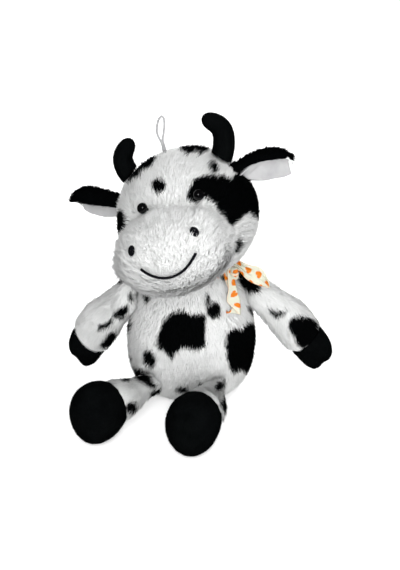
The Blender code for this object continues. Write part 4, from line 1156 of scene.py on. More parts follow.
def nostril(name, side, up):
    place, out = muzzle_place(side, up)
    centre = place - out * 0.0006
    upright = (HEAD_UP - out * HEAD_UP.dot(out)).normalized()
    beside = upright.cross(out)
    bm = bmesh.new()
    rows = int(2 * NOSTRIL_HALF_HEIGHT / (FLOSS_THICKNESS * 0.8))
    for row in range(rows):
        share = (row + 0.5) / rows * 2 - 1
        half = NOSTRIL_HALF_WIDTH * math.sqrt(1 - share**2)
        rings = []
        for step in range(9):
            across = step / 8 * 2 - 1
            rise = NOSTRIL_CROWN * (1 - across**2) * math.sqrt(1 - share**2 * 0.8) + FLOSS_THICKNESS
            middle = centre + upright * share * NOSTRIL_HALF_HEIGHT + beside * across * half + out * rise
            ring = []
            for corner in range(6):
                angle = math.pi / 3 * corner
                shift = upright * math.cos(angle) + out * math.sin(angle)
                ring.append(bm.verts.new(middle + shift * FLOSS_THICKNESS / 2))
            rings.append(ring)
        for low, high in zip(rings, rings[1:]):
            for corner in range(6):
                after = (corner + 1) % 6
                bm.faces.new((low[corner], low[after], high[after], high[corner]))
        bm.faces.new(rings[0])
        bm.faces.new(rings[-1])
    bmesh.ops.recalc_face_normals(bm, faces=bm.faces[:])
    mesh = bpy.data.meshes.new(f"nostril_{name}_stitches")
    bm.to_mesh(mesh)
    mesh.shade_smooth()
    mesh.materials.append(black_floss)
    made = bpy.data.objects.new(mesh.name, mesh)
    scene.collection.objects.link(made)
    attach(made, "head")
    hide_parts(f"nostril_{name}")


for name, (side, up) in zip(("left", "right"), NOSTRILS):
    nostril(name, side, up)
mouth = sew(
    "mouth_stitches",
    [
        (place + out * MOUTH_LIFT * (1 - abs(2 * step / MOUTH_STEPS - 1) ** 4), out)
        for step, (place, out) in enumerate(mouth_route)
    ],
    black_floss,
    **{"Spacing": 0.0030, "Stitch length": MOUTH_STITCH, "Thickness": MOUTH_THICKNESS, "Dip": 0.0003},
)
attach(mouth, "head")
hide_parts("mouth_stitching")


# Hooves and horns are cut from short black velour, sewn inside out, turned and stuffed. The nap is
# a millimetre of fine upright fibres, which looks grey only where light grazes it.
VELOUR_NAP = {
    "Length": 0.0017,
    "Width": 0.00045,
    "Locks per square metre": 1.7e6,
    "Closest": 0.0005,
    "Lock joints": 1,
    "Clumping": 0.15,
    "Clumps per square metre": 1e5,
    "Rise": 0.7,
    "Frizz": 0.3,
    "Shortest": 0.5,
}

velour, tree, shader = finish_of("black_velour", (0.002, 0.0024, 0.003), 0.9)
shader.inputs["Specular IOR Level"].default_value = 0.01
spots = node(tree, "ShaderNodeTexCoord").outputs["Object"]
marks = node(tree, "ShaderNodeTexNoise", {"Vector": spots, "Scale": 60.0, "Detail": 2.0})
fine = node(tree, "ShaderNodeTexNoise", {"Vector": spots, "Scale": 1500.0, "Detail": 2.0})
tint = mixed(tree, marks.outputs["Fac"], (0.0006, 0.0008, 0.0009, 1), (0.0030, 0.0036, 0.0038, 1))
tree.links.new(tint, shader.inputs["Base Color"])
bump = node(tree, "ShaderNodeBump", {"Height": fine.outputs["Fac"], "Strength": 0.7, "Distance": 0.0004})
tree.links.new(bump.outputs["Normal"], shader.inputs["Normal"])


def velour_form(name, stands_for, body, middle, grain=0.0016, eased=4, nap=True):
    """A velour piece: its solid evenly meshed and eased, with its nap on the outside."""
    form = cloth_over(name, stands_for, -0.0006, grain, eased, velour)
    places, normals = columns(form.data), columns(form.data, "normal")
    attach(form, body)
    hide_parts(stands_for)
    if nap:
        outside = np.sum((places - middle(places)) * normals, axis=1) > 0
        flow = brushed(np.tile(np.array((0, 0, -1.0)), (len(places), 1)), normals)
        fur = grow_pile(f"{name}_nap", form, outside.astype(float), flow, velour, 31, **VELOUR_NAP)
        keep_off_floor(fur.data)
        mesh = fur.data
        lay_out_locks(mesh, 1)
        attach(fur, body)
    keep_off_floor(form.data)
    return form


def line_middle(start, end):
    """For places, their nearest places on a line."""
    start, end = np.array(start), np.array(end)
    run = end - start

    def nearest(places):
        along = np.clip((places - start) @ run / (run @ run), 0, 1)
        return start + along[:, None] * run

    return nearest


def corners_of(name):
    return columns(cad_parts[name].data)


# Arms and legs are fur tubes, stuffed and sewn into the body seams, brushed towards their hooves.
# Each ends in a velour hoof, sewn on over the fur with a plain seam.
LIMB_FUR = {
    "Length": 0.0072,
    "Width": 0.00095,
    "Locks per square metre": 1.05e6,
    "Closest": 0.0007,
    "Lock joints": 2,
    "Rise": 0.45,
    "Frizz": 0.12,
    "Clumping": 0.20,
}
HOOF_LAP = 0.008
HOOF_TUCK = 0.25
LEG_ROOTS = {"leg_left": (0.64, 0.016, 0.80), "leg_right": (0.80, 0.010, 0.68)}
LEG_PINCH_START = -0.004
LEG_PINCH_END = 0.034
LEG_PINCH_DROP = 0.001
ARM_CROWN = 0.0055
ARM_CROWN_FADE = 0.030
ARM_SHOULDERS = {"arm_left": (0.018, 2.6), "arm_right": (0.017, 1.0)}
ARM_SHOULDER_REACH = 0.036
ARM_SHOULDER_LEAN = 0.8
LIMBS = {
    "arm_left": {
        "pivot": (0.0658, 0.0, 0.1062),
        "seen": [
            SHOULDER_SPOT,
            [(268, 309), (275, 312), (288, 312), (284, 317), (277, 320), (272, 316)],
            [
                (291, 320), (300, 316), (309, 318), (318, 322), (322, 334), (314, 346), (303, 350),
                (297, 345), (294, 337), (288, 329),
            ],
        ],
        "unseen": [(0.100, 0.018, 0.085, 0.012), (0.075, 0.022, 0.110, 0.008)],
    },
    "arm_right": {
        "pivot": (-0.0658, 0.0, 0.1062),
        "seen": [
            [(112, 316), (118, 309), (127, 305), (130, 310), (122, 320), (115, 319)],
            [(97, 326), (104, 324), (111, 319), (113, 324), (104, 331), (98, 331)],
            [(100, 345), (106, 337), (114, 331), (117, 336), (111, 347), (103, 350)],
            oval(118, 281, 9, 7, -40),
            oval(131, 299, 4, 12),
        ],
        "unseen": [(-0.095, 0.030, 0.090, 0.012), (-0.070, 0.024, 0.115, 0.008)],
    },
    "leg_left": {
        "pivot": (0.0251, -0.0577, 0.0316),
        "seen": [oval(230, 403, 17, 25, 15), oval(219.7, 386, 11, 9, -25)],
        "unseen": [(0.045, -0.060, 0.020, 0.010)],
    },
    "leg_right": {
        "pivot": (-0.0515, -0.0424, 0.0316),
        "seen": [
            LOW_BAND,
            oval(125.5, 377.5, 11, 9),
            oval(131.2, 408.2, 11, 13, -20),
            oval(156.4, 396.7, 14, 14, -30),
        ],
        "unseen": [(-0.075, -0.040, 0.025, 0.011)],
    },
}


def limb(name, pivot, seen, unseen, seed):
    pivot = np.array(pivot)
    hoof = corners_of(f"{name}_hoof")
    axis = (hoof.min(axis=0) + hoof.max(axis=0)) / 2 - pivot
    tip = pivot + axis
    axis /= np.linalg.norm(axis)
    cuff = np.min((hoof - pivot) @ axis)
    cloth = cloth_over(f"{name}_cloth", f"{name}_stuffing", 0.0028, 0.0024, 6, spotted_cloth)
    mesh = cloth.data
    places = columns(mesh)
    along = (places - pivot) @ axis
    inside = np.clip((along - cuff) / HOOF_LAP, 0, 1)
    places -= (places - pivot - along[:, None] * axis) * inside[:, None] * HOOF_TUCK
    if name in LEG_ROOTS:
        pinch, sink, pressed = LEG_ROOTS[name]
        share = np.clip((along - LEG_PINCH_START) / (LEG_PINCH_END - LEG_PINCH_START), 0, 1)
        keep = pinch + (1 - pinch) * share**2 * (3 - 2 * share)
        middle = pivot + along[:, None] * axis - np.array((0, 0, LEG_PINCH_DROP))
        places = middle + (places - middle) * keep[:, None]
        inwards = places * np.array((-1, -1, 0))
        inwards /= np.maximum(np.linalg.norm(inwards, axis=1, keepdims=True), 1e-6)
        places += inwards * sink * (1 - share[:, None])
        above = np.maximum(places[:, 2] - pivot[2], 0)
        places[:, 2] -= above * pressed * (1 - share)
    else:
        across = places - pivot - along[:, None] * axis
        rise = np.clip(across[:, 2] / np.maximum(np.linalg.norm(across, axis=1), 1e-6), 0, 1)
        places[:, 2] += ARM_CROWN * rise * np.clip((cuff - along) / ARM_CROWN_FADE, 0, 1)
        lift, fall = ARM_SHOULDERS[name]
        lift = lift * rise * np.clip(1 - along / ARM_SHOULDER_REACH, 0, 1) ** fall
        places[:, 2] += lift
        places[:, 0] -= np.sign(pivot[0]) * lift * ARM_SHOULDER_LEAN
    mesh.vertices.foreach_set("co", places.ravel())
    mesh.update()
    places, normals = columns(mesh), columns(mesh, "normal")
    wander = np.array([noise.noise_vector(Vector(p) * 26) for p in places.tolist()])
    along = (places - pivot) @ axis
    comb = brushed(np.tile(axis, (len(places), 1)) + np.array((0, 0, -0.2)) + wander * 0.5, normals)
    depth = np.clip((cuff - along - 0.0005) / 0.006, 0, 1)
    if name.startswith("arm"):
        depth *= np.clip((torso_share(places) - 0.72) / 0.12, 0, 1)
    else:
        depth *= np.clip((torso_share(places) - 0.66) / 0.12, 0, 1)
    fur = grow_pile(f"{name}_fur", cloth, depth, comb, spotted_pile, seed, **LIMB_FUR)
    keep_off_floor(fur.data)
    dress_pile(fur, name, [f"{name}_sleeve"], seen, unseen, seed=seed)
    spot_cloth(cloth, seen, unseen)
    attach(cloth, name)
    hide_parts(f"{name}_stuffing")
    velour_form(f"{name}_velour", f"{name}_hoof", name, line_middle(pivot, tip))


for order, (name, facts) in enumerate(LIMBS.items()):
    limb(name, facts["pivot"], facts["seen"], facts["unseen"], 41 + order)


def horns():
    for name in ("left", "right"):
        rows = corners_of(f"horn_{name}")
        own = in_head_frame(rows)
        heights = np.linspace(own[:, 2].min(), own[:, 2].max(), 8)
        middles = []
        for low, high in zip(heights, heights[1:]):
            part = rows[(own[:, 2] >= low - 1e-4) & (own[:, 2] <= high + 1e-4)]
            if len(part):
                middles.append(part.mean(axis=0))
        middles = np.array(middles)

        def middle(places, middles=middles):
            reach = np.linalg.norm(places[:, None, :] - middles[None], axis=2)
            return middles[np.argmin(reach, axis=1)]

        velour_form(f"horn_{name}_velour", f"horn_{name}", "head", middle, 0.0014, 3)


horns()


# Each ear is a folded leaf: black fur on the back, white velour inside, turned out and sewn into
# the head's seam. The fold keeps its front edge up and its back edge down.
EAR_FUR = {
    "Length": 0.0040,
    "Width": 0.0008,
    "Locks per square metre": 9e5,
    "Closest": 0.0007,
    "Lock joints": 2,
    "Rise": 0.45,
}
EAR_RIM = 0.0060
EAR_LOW = 0.0035
EAR_TIP = 0.0030
EAR_LINING_GROWTH = 0.35
EAR_CREASE = 0.0018
EAR_CREASE_WIDTH = 0.0025
EAR_ROOT_LOW = 0.55
EAR_ROOT_THICK = 0.7
EAR_ROOT_SINK = 0.0045
EAR_ROOT_REACH = 0.020
EAR_SHAPES = {"left": (0.93, 0.002), "right": (1.0, 0.008)}

lining, tree, shader = finish_of("ear_lining", (0.55, 0.55, 0.55), 0.9)
spots = node(tree, "ShaderNodeTexCoord").outputs["Object"]
marks = node(tree, "ShaderNodeTexNoise", {"Vector": spots, "Scale": 90.0, "Detail": 3.0})
fine = node(tree, "ShaderNodeTexNoise", {"Vector": spots, "Scale": 1300.0, "Detail": 2.0})
tint = mixed(tree, marks.outputs["Fac"], (0.30, 0.30, 0.31, 1), (0.46, 0.46, 0.46, 1))
tree.links.new(tint, shader.inputs["Base Color"])
bump = node(tree, "ShaderNodeBump", {"Height": fine.outputs["Fac"], "Strength": 0.5, "Distance": 0.0004})
tree.links.new(bump.outputs["Normal"], shader.inputs["Normal"])


def shape_ear(cloth, name, axis, root):
    """Draws an ear's tip in, lifts it as the sewn edge does, and runs its root into the head's pile."""
    keep, lift = EAR_SHAPES[name]
    places = columns(cloth.data)
    along = (places - root) @ axis
    share = np.clip(along / along.max(), 0, 1)
    near_root = 1 - np.clip((along - along.min()) / EAR_ROOT_REACH, 0, 1)
    places -= axis * (EAR_ROOT_SINK * near_root)[:, None]
    places += axis * (along * (keep - 1) * share)[:, None] + np.array(HEAD_UP) * (lift * share**1.5)[:, None]
    cloth.data.vertices.foreach_set("co", places.ravel())
    cloth.data.update()


def ear(name, seed):
    body = f"ear_{name}"
    lined = corners_of(f"ear_{name}_lining")
    core = lined.mean(axis=0)
    axis = core - np.array(HEAD_CENTRE)
    axis /= np.linalg.norm(axis)
    root = core - axis * 0.026
    inner = cloth_over(f"ear_{name}_inside", f"ear_{name}_lining", 0.0, 0.0010, 5, lining)
    shape_ear(inner, name, axis, root)
    places, normals = columns(inner.data), columns(inner.data, "normal")
    middle = places.mean(axis=0)
    facing = (normals * (normals @ np.array(to_camera) > 0.2)[:, None]).mean(axis=0)
    facing /= np.linalg.norm(facing)
    upright = np.cross(axis, facing)
    over = places - middle
    below = over @ (upright * -np.sign(upright[2]))
    swell = EAR_CREASE * np.clip(-below / EAR_CREASE_WIDTH, 0, 1) * (normals @ facing > 0)
    near_root = 1 - np.clip((over @ axis - (over @ axis).min()) / 0.030, 0, 1)
    hang = np.clip(below, 0, None) * EAR_LINING_GROWTH + np.clip(-below, 0, None) * EAR_ROOT_LOW * near_root
    places += facing * swell[:, None] + upright * (-np.sign(upright[2]) * hang)[:, None]
    inner.data.vertices.foreach_set("co", places.ravel())
    inner.data.update()
    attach(inner, body)
    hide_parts(f"ear_{name}_lining")
    back = cloth_over(f"ear_{name}_outside", f"ear_{name}_back", -0.0004, 0.0010, 5, spotted_cloth)
    shape_ear(back, name, axis, root)
    mesh = back.data
    places, normals = columns(mesh), columns(mesh, "normal")
    lined = columns(inner.data)[::3]
    core = lined.mean(axis=0)
    step = places[:, None, :] + normals[:, None, :] * 0.002 - lined[None, :, :]
    near_lining = np.min(np.linalg.norm(step, axis=2), axis=1)
    outside = np.clip((near_lining - 0.0030) / 0.001, 0, 1)
    wander = np.array([noise.noise_vector(Vector(p) * 40) for p in places.tolist()])
    comb = brushed(np.tile(axis, (len(places), 1)) + wander * 0.4, normals)
    hem = (places - core) - ((places - core) @ axis)[:, None] * axis
    reach = (places - root) @ axis
    low = (hem @ np.array((0, 0, -1.0)) > EAR_LOW) & (reach < reach.max() - EAR_TIP)
    rim = low & (near_lining < EAR_RIM)
    write_rows(mesh, "black", "FLOAT", np.where(rim, 0.0, 1.0))
    outside *= ~rim
    outside *= 1 + EAR_ROOT_THICK * (1 - np.clip((reach - reach.min()) / 0.020, 0, 1))
    fur = grow_pile(f"ear_{name}_fur", back, outside, comb, spotted_pile, seed, **EAR_FUR)
    write_rows(fur.data, "black", "FLOAT", np.ones(len(fur.data.vertices)))
    lay_out_locks(fur.data, EAR_FUR["Lock joints"])
    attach(fur, body)
    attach(back, body)
    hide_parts(f"ear_{name}_back")


ear("left", 51)
ear("right", 52)


# The tail is a narrow fur tube with a tuft of long black pile at its end, sewn into the back seam.
TAIL_FUR = {
    "Length": 0.0050,
    "Width": 0.0009,
    "Locks per square metre": 9e5,
    "Closest": 0.0007,
    "Rise": 0.35,
    "Lock joints": 2,
}
TUFT_FUR = {
    "Length": 0.0150,
    "Width": 0.0012,
    "Locks per square metre": 1.1e6,
    "Closest": 0.0007,
    "Rise": 0.15,
    "Lock joints": 3,
}


def tail():
    for name, solid, let_out, sizes, black, seed in (
        ("tail_fur", "tail_cord", -0.0020, TAIL_FUR, 0, 61),
        ("tuft_fur", "tail_tuft", -0.0050, TUFT_FUR, 1, 62),
    ):
        cloth = cloth_over(f"{name}_cloth", solid, let_out, 0.0014, 4, spotted_cloth)
        mesh = cloth.data
        places, normals = columns(mesh), columns(mesh, "normal")
        write_rows(mesh, "black", "FLOAT", np.full(len(places), black))
        flow = brushed(np.tile(np.array((0, 1.0, -0.25)), (len(places), 1)), normals)
        fur = grow_pile(name, cloth, np.ones(len(places)), flow, spotted_pile, seed, **sizes)
        write_rows(fur.data, "black", "FLOAT", np.full(len(fur.data.vertices), black))
        lay_out_locks(fur.data, sizes["Lock joints"])
        keep_off_floor(fur.data)
        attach(fur, "tail")
        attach(cloth, "tail")
        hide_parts(solid)


tail()


# The ribbon is one length of 16 mm cream satin printed with orange hearts, gathered round the neck,
# knotted on the cow's left and cut off slantwise. One tail hangs and the other stands to the side.
RIBBON_WIDTH = 0.016
RIBBON_THICKNESS = 0.0004
HEART_CELL = 0.0112
HEART_SIZE = 0.27
COLLAR_HEIGHT = 0.0062
COLLAR_STANDOFF = 0.0004
COLLAR_SINK = 0.0066
COLLAR_SHARE = 0.872
COLLAR_LEFT_RISE = 0.020
COLLAR_FRONT_DROP = 0.002
COLLAR_PLEATS = 46
COLLAR_PLEAT_DEPTH = 0.0007
KNOT_SHIFT = Vector((-0.0010, 0.0, 0.0012))


def heart_print_group():
    """Hearts on a cloth, one in each cell of a map in metres, each turned by chance."""
    group, given, made = shared_group(
        "heart_print",
        (("Map", "Vector", None), ("Cell", "Float", HEART_CELL), ("Size", "Float", HEART_SIZE)),
        (("Hearts", "Float"),),
    )

    def number(operation, first, second=0.0):
        return node(group, "ShaderNodeMath", {0: first, 1: second}, operation=operation).outputs[0]

    apart = node(group, "ShaderNodeSeparateXYZ", {0: given.outputs["Map"]}).outputs
    across = number("DIVIDE", apart["X"], given.outputs["Cell"])
    along = number("DIVIDE", apart["Y"], given.outputs["Cell"])
    column = number("FLOOR", across)
    along = number("ADD", along, number("MULTIPLY", number("MODULO", column, 2.0), 0.5))
    cell = node(group, "ShaderNodeCombineXYZ", {"X": column, "Y": number("FLOOR", along)}).outputs[0]
    chance = node(group, "ShaderNodeTexWhiteNoise", {"Vector": cell}, noise_dimensions="3D").outputs
    local = node(
        group,
        "ShaderNodeCombineXYZ",
        {
            "X": number("SUBTRACT", number("FRACT", across), 0.5),
            "Y": number("SUBTRACT", number("FRACT", along), 0.5),
        },
    ).outputs[0]
    turn = number("MULTIPLY", chance["Value"], 2 * math.pi)
    turned = node(
        group, "ShaderNodeVectorRotate", {"Vector": local, "Angle": turn}, rotation_type="Z_AXIS"
    ).outputs[0]
    sized = node(group, "ShaderNodeVectorMath", {0: turned}, operation="SCALE")
    group.links.new(number("DIVIDE", 1.0, given.outputs["Size"]), sized.inputs["Scale"])
    apart = node(group, "ShaderNodeSeparateXYZ", {0: sized.outputs[0]}).outputs
    wide = number("MULTIPLY", apart["X"], apart["X"])
    high = number("MULTIPLY", apart["Y"], apart["Y"])
    body = number("POWER", number("ABSOLUTE", number("SUBTRACT", number("ADD", wide, high), 1.0)), 3.0)
    sign = number("SIGN", number("SUBTRACT", number("ADD", wide, high), 1.0))
    notch = number("MULTIPLY", wide, number("MULTIPLY", high, apart["Y"]))
    depth = number("SUBTRACT", notch, number("MULTIPLY", body, sign))
    edge = node(group, "ShaderNodeMapRange", {"Value": depth, "From Min": -0.03, "From Max": 0.05})
    group.links.new(edge.outputs["Result"], made.inputs["Hearts"])
    return group


def ribbon_material():
    material, tree, shader = finish_of("printed_satin", (0.80, 0.79, 0.66), 0.42, Specular_IOR_Level=0.25)
    place = node(tree, "ShaderNodeUVMap", uv_map="ribbon").outputs["UV"]
    hearts = node(tree, "ShaderNodeGroup", {"Map": place}, node_tree=heart_print_group())
    apart = node(tree, "ShaderNodeSeparateXYZ", {0: place}).outputs
    middle = node(tree, "ShaderNodeMath", {0: apart["X"], 1: RIBBON_WIDTH / 2}, operation="SUBTRACT")
    reach = node(tree, "ShaderNodeMath", {0: middle.outputs[0]}, operation="ABSOLUTE")
    selvage = node(
        tree,
        "ShaderNodeMapRange",
        {"Value": reach.outputs[0], "From Min": 0.0070, "From Max": 0.0078},
    )
    weave = node(
        tree,
        "ShaderNodeTexWave",
        {"Vector": place, "Scale": 900.0, "Distortion": 0.5},
        bands_direction="DIAGONAL",
    )
    mottle = node(tree, "ShaderNodeTexNoise", {"Vector": place, "Scale": 180.0, "Detail": 2.0})
    cream = mixed(tree, mottle.outputs["Fac"], (0.46, 0.46, 0.375, 1), (0.57, 0.57, 0.47, 1))
    edged = mixed(tree, selvage.outputs["Result"], cream, (0.74, 0.55, 0.40, 1))
    ink = mixed(tree, mottle.outputs["Fac"], (0.50, 0.12, 0.002, 1), (0.64, 0.17, 0.004, 1))
    printed = mixed(tree, hearts.outputs["Hearts"], edged, ink)
    tree.links.new(printed, shader.inputs["Base Color"])
    rough = node(tree, "ShaderNodeMapRange", {"Value": weave.outputs["Fac"], "To Min": 0.36, "To Max": 0.55})
    tree.links.new(rough.outputs["Result"], shader.inputs["Roughness"])
    bump = node(tree, "ShaderNodeBump", {"Height": weave.outputs["Fac"], "Strength": 0.25, "Distance": 0.0001})
    tree.links.new(bump.outputs["Normal"], shader.inputs["Normal"])
    return material


printed_satin = ribbon_material()


def satin_sheet(name, rows, mapped, closed=False):
    """A thin closed sheet through rows of places, with each place's (across, along) on the ribbon."""
    bm = bmesh.new()
    layer = bm.loops.layers.uv.new("ribbon")
    verts = [[bm.verts.new(place) for place in row] for row in rows]
    pairs = list(zip(range(len(rows)), range(1, len(rows))))
    for low, high in pairs:
        for column in range(len(rows[0]) - 1):
            corners = ((low, column), (low, column + 1), (high, column + 1), (high, column))
            face = bm.faces.new([verts[row][at] for row, at in corners])
            for loop, (row, at) in zip(face.loops, corners):
                loop[layer].uv = mapped[row][at]
    if closed:
        bmesh.ops.remove_doubles(bm, verts=bm.verts[:], dist=1e-6)
    bmesh.ops.recalc_face_normals(bm, faces=bm.faces[:])
    mesh = bpy.data.meshes.new(name)
    bm.to_mesh(mesh)
    made = bpy.data.objects.new(name, mesh)
    scene.collection.objects.link(made)
    wall = made.modifiers.new("wall", "SOLIDIFY")
    wall.thickness = RIBBON_THICKNESS
    wall.offset = 0
    plain_mesh(made)
    made.data.shade_smooth()
    made.data.materials.clear()
    made.data.materials.append(printed_satin)
    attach(made, "torso")
    return made


def photo_place(x, y, depth):
    """The place that a photo pixel shows, at a depth straight ahead of the camera."""
    per_pixel = SENSOR / LENS / PHOTO_WIDTH * depth
    across, up = (x - PHOTO_WIDTH / 2) * per_pixel, (PHOTO_HEIGHT / 2 - y) * per_pixel
    return camera_place + camera_turned.to_matrix() @ Vector((across, up, -depth))


# Each row of a tail is its two edges in photo pixels, and their depths from the camera.
SIDE_TAIL = (
    ((235.5, 258.5, 0.8655), (232.0, 267.5, 0.8660)),
    ((239.0, 259.8, 0.8650), (236.5, 268.8, 0.8655)),
    ((244.0, 262.8, 0.8640), (241.0, 273.0, 0.8640)),
    ((250.5, 265.2, 0.8650), (246.0, 278.6, 0.8630)),
    ((258.0, 266.6, 0.8665), (252.0, 282.6, 0.8650)),
    ((264.0, 271.5, 0.8675), (259.0, 285.4, 0.8670)),
    ((268.6, 281.0, 0.8690), (264.5, 286.8, 0.8690)),
    ((269.8, 287.6, 0.8700), (269.4, 288.0, 0.8700)),
)
DOWN_TAIL = (
    ((229.5, 266.0, 0.8650), (233.5, 267.0, 0.8655)),
    ((227.4, 271.5, 0.8650), (232.6, 272.5, 0.8665)),
    ((228.0, 280.0, 0.8665), (234.0, 280.0, 0.8680)),
    ((228.4, 290.0, 0.8680), (236.6, 289.5, 0.8690)),
    ((227.0, 301.0, 0.8690), (239.4, 299.5, 0.8700)),
    ((233.0, 307.5, 0.8695), (240.2, 306.5, 0.8705)),
    ((239.3, 314.4, 0.8705), (240.0, 314.6, 0.8705)),
)
TAIL_PLEATS = 3
TAIL_COLUMNS = 36
TAIL_STEPS = 7


def pleated(width, share):
    """The ribbon's whole width pleated into a smaller one, as (across, lift) places."""
    spare = max(RIBBON_WIDTH / width - 1, 0)
    lift = width / (2 * math.pi * TAIL_PLEATS) * math.sqrt(min(4 * spare, 4.5))
    made = []
    for step in range(TAIL_COLUMNS + 1):
        across = step / TAIL_COLUMNS
        wave = math.sin(2 * math.pi * TAIL_PLEATS * across + 1.2 * share) * lift
        made.append((across * width, wave + 0.0012 * math.sin(math.pi * across) * share))
    return made


def folded(width, share):
    """The ribbon folded lengthwise, its spare width behind the front layer."""
    front = min(width / RIBBON_WIDTH, 1)
    made = []
    for step in range(TAIL_COLUMNS + 1):
        across = step / TAIL_COLUMNS
        if across <= front:
            lift = 0.0006 * math.sin(math.pi * across / front)
            made.append((across / front * width, lift))
        else:
            behind = (across - front) * RIBBON_WIDTH
            lift = -0.0016 * min(behind / 0.002, 1) - 0.0012 * math.sin(behind / RIBBON_WIDTH * 5)
            made.append((width + 0.0008 - behind * 0.96, lift))
    return made


def ribbon_tail(name, solid, edges, section):
    first = smooth_path([photo_place(*a) for a, _ in edges], TAIL_STEPS)
    second = smooth_path([photo_place(*b) for _, b in edges], TAIL_STEPS)
    rows = []
    mapped = []
    gone = 0.0
    for index, (a, b) in enumerate(zip(first, second)):
        if index:
            gone += ((a + b) / 2 - (first[index - 1] + second[index - 1]) / 2).length
        share = index / (len(first) - 1)
        beside = (b - a).normalized()
        places = section((b - a).length, share)
        rows.append([a + beside * across + to_camera * lift for across, lift in places])
        mapped.append([(step / TAIL_COLUMNS * RIBBON_WIDTH, gone) for step in range(TAIL_COLUMNS + 1)])
    tail = satin_sheet(name, rows, mapped)
    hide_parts(solid)


ribbon_tail("ribbon_tail_side_satin", "ribbon_tail_side", SIDE_TAIL, pleated)
ribbon_tail("ribbon_tail_down_satin", "ribbon_tail_down", DOWN_TAIL, folded)


def ribbon_collar():
    """The ribbon round the neck, pulled into fine pleats and sunk between the head and the body."""
    low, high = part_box("ribbon_knot")
    knot_turn = math.atan2(low.x + high.x, -low.y - high.y)
    rows = []
    mapped = []
    steps = 240
    across_steps = 6
    round_neck = 0.0
    before = None
    for step in range(steps + 1):
        angle = 2 * math.pi * step / steps
        turn = (angle + math.pi) % (2 * math.pi) - math.pi
        sunk = COLLAR_SINK * min(max((turn + 1.3) / 0.2, 0), 1) * min(max((knot_turn - turn) / 0.2, 0), 1)
        row = []
        for edge in range(across_steps + 1):
            share = edge / across_steps
            height = COLLAR_SHARE + COLLAR_LEFT_RISE * math.sin(angle) - COLLAR_FRONT_DROP * math.cos(angle)
            height += (share - 0.5) * COLLAR_HEIGHT / TORSO_HEIGHT
            pleat = math.cos(angle * COLLAR_PLEATS + 0.8 * math.sin(share * 4)) * COLLAR_PLEAT_DEPTH
            crown = 0.0012 * math.sin(math.pi * share)
            row.append(torso_place(height, angle, COLLAR_STANDOFF + pleat + crown - sunk))
        if before:
            round_neck += (row[3] - before).length
        before = row[3]
        rows.append(row)
        mapped.append([(edge / across_steps * RIBBON_WIDTH, round_neck) for edge in range(across_steps + 1)])
    rows[-1] = list(rows[0])
    collar = satin_sheet("ribbon_collar_satin", rows, mapped, closed=True)
    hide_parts("ribbon_collar")


ribbon_collar()


def ribbon_knot():
    """The knot: the ribbon pulled tight into folds, and one turn of it laid over them."""
    low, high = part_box("ribbon_knot")
    middle = (low + high) / 2 + KNOT_SHIFT
    out = (middle - Vector((0, 0, middle.z))).normalized()
    upright = Vector((-0.10, 0.05, 1)).normalized()
    beside = upright.cross(out).normalized()
    bm = bmesh.new()
    layer = bm.loops.layers.uv.new("ribbon")
    rings, sides = 26, 60
    grid = []
    for ring in range(rings + 1):
        rise = -math.cos(math.pi * ring / rings)
        girth = math.sqrt(max(1 - rise**2, 0)) ** 0.75
        row = []
        for side in range(sides):
            angle = 2 * math.pi * side / sides
            folds = 1 + 0.11 * math.cos(angle * 11 + rise * 1.2) * (0.35 + 0.65 * abs(rise))
            waist = 1 - 0.16 * math.exp(-((rise * 3.2) ** 2))
            place = (
                middle
                + beside * (math.cos(angle) * 0.0036 * girth * folds * waist)
                + out * (math.sin(angle) * 0.0040 * girth * folds * waist)
                + upright * (rise * 0.0068)
            )
            row.append(bm.verts.new(place) if 0 < ring < rings or side == 0 else None)
        grid.append(row)
    for low_row, high_row in zip(range(rings), range(1, rings + 1)):
        for side in range(sides):
            after = (side + 1) % sides
            a, b = grid[low_row][side] or grid[low_row][0], grid[low_row][after] or grid[low_row][0]
            c, d = grid[high_row][after] or grid[high_row][0], grid[high_row][side] or grid[high_row][0]
            corners = [v for index, v in enumerate((a, b, c, d)) if v not in (a, b, c, d)[:index]]
            face = bm.faces.new(corners)
            for loop in face.loops:
                rise = (loop.vert.co - middle).dot(upright)
                loop[layer].uv = (side / sides * RIBBON_WIDTH, rise + 0.003)
    band = []
    for side in range(sides):
        angle = 2 * math.pi * side / sides
        ring = []
        for corner in range(10):
            turn = 2 * math.pi * corner / 10
            reach = 0.0035 + 0.0006 * math.cos(turn)
            lift = 0.0019 * math.sin(turn) + 0.0005 * math.sin(angle * 2)
            ring.append(
                bm.verts.new(middle + (beside * math.cos(angle) + out * math.sin(angle)) * reach + upright * lift)
            )
        band.append(ring)
    for side in range(sides):
        after = (side + 1) % sides
        for corner in range(10):
            step = (corner + 1) % 10
            face = bm.faces.new((band[side][corner], band[after][corner], band[after][step], band[side][step]))
            for loop in face.loops:
                loop[layer].uv = (corner / 10 * RIBBON_WIDTH, side / sides * 0.030)
    bmesh.ops.recalc_face_normals(bm, faces=bm.faces[:])
    mesh = bpy.data.meshes.new("ribbon_knot_satin")
    bm.to_mesh(mesh)
    mesh.shade_smooth()
    mesh.materials.append(printed_satin)
    knot = bpy.data.objects.new("ribbon_knot_satin", mesh)
    scene.collection.objects.link(knot)
    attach(knot, "torso")
    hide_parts("ribbon_knot")


ribbon_knot()


# The toy sits on a flat white floor under a pale sky, lit by six soft lamps. The floor and the sky are
# brighter to the camera than to the toy, so that they stay white while its shaded side stays grey.
FLOOR_GLOW = 0.45
SKY_ON_TOY = 0.62
SKY_SEEN = 1.0
SKY_MIRRORED_LESS = 0.95


def ray_kinds(tree):
    """Whether a ray comes from the camera or a mirroring surface, and whether from the latter."""
    rays = node(tree, "ShaderNodeLightPath").outputs
    return maths(tree, "MAXIMUM", rays["Is Camera Ray"], rays["Is Glossy Ray"]), rays["Is Glossy Ray"]


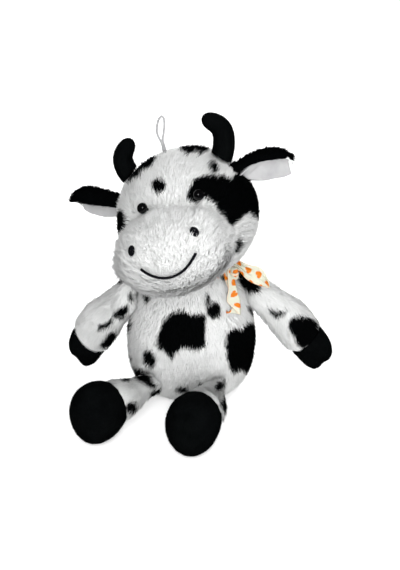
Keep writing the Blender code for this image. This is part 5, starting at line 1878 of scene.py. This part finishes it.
floor_mesh = bpy.data.meshes.new("floor")
floor_mesh.from_pydata([(-4, -4, 0), (4, -4, 0), (4, 4, 0), (-4, 4, 0)], [], [(0, 1, 2, 3)])
floor = bpy.data.objects.new("floor", floor_mesh)
scene.collection.objects.link(floor)
floor_material, tree, shader = finish_of("white_floor", (0.86, 0.86, 0.86), 0.9)
shader.inputs["Emission Color"].default_value = (1, 1, 1, 1)
glow = maths(tree, "MULTIPLY", ray_kinds(tree)[0], FLOOR_GLOW)
tree.links.new(glow, shader.inputs["Emission Strength"])
floor_mesh.materials.append(floor_material)
floor.visible_glossy = False

world = bpy.data.worlds.new("studio")
scene.world = world
world.use_nodes = True
tree = world.node_tree
sky = tree.nodes["Background"]
sky.inputs["Color"].default_value = (1, 1, 1, 1)
seen_ray, mirrored_ray = ray_kinds(tree)
strength = node(
    tree, "ShaderNodeMapRange", {"Value": seen_ray, "To Min": SKY_ON_TOY, "To Max": SKY_SEEN}
)
dimmed = maths(tree, "MULTIPLY", mirrored_ray, SKY_MIRRORED_LESS)
left = maths(tree, "SUBTRACT", strength.outputs["Result"], dimmed)
tree.links.new(left, sky.inputs["Strength"])


def soft_lamp(name, place, size, power, mirrored=False):
    """A round lamp turned to the toy. Only a mirrored one shows as a glint in the eyes."""
    lamp = bpy.data.objects.new(name, bpy.data.lights.new(name, "AREA"))
    lamp.data.shape = "DISK"
    lamp.data.size = size
    lamp.data.energy = power
    lamp.location = place
    lamp.rotation_euler = (Vector(place) - AIM).to_track_quat("Z", "Y").to_euler()
    lamp.visible_glossy = mirrored
    scene.collection.objects.link(lamp)


soft_lamp("key_lamp", (-0.08, -0.72, 0.66), 0.5, 2.6)
soft_lamp("top_lamp", (0.1, -0.25, 1.7), 1.2, 4)
soft_lamp("fill_lamp", (0.7, -1.1, 0.5), 1.0, 4)
soft_lamp("low_lamp", (-0.12, -1.1, 0.20), 0.8, 6)
soft_lamp("back_lamp", (0.5, 1.2, 1.1), 1.0, 18)
soft_lamp("glint_lamp", (-0.25, -1.1, 1.1), 0.45, 5, True)
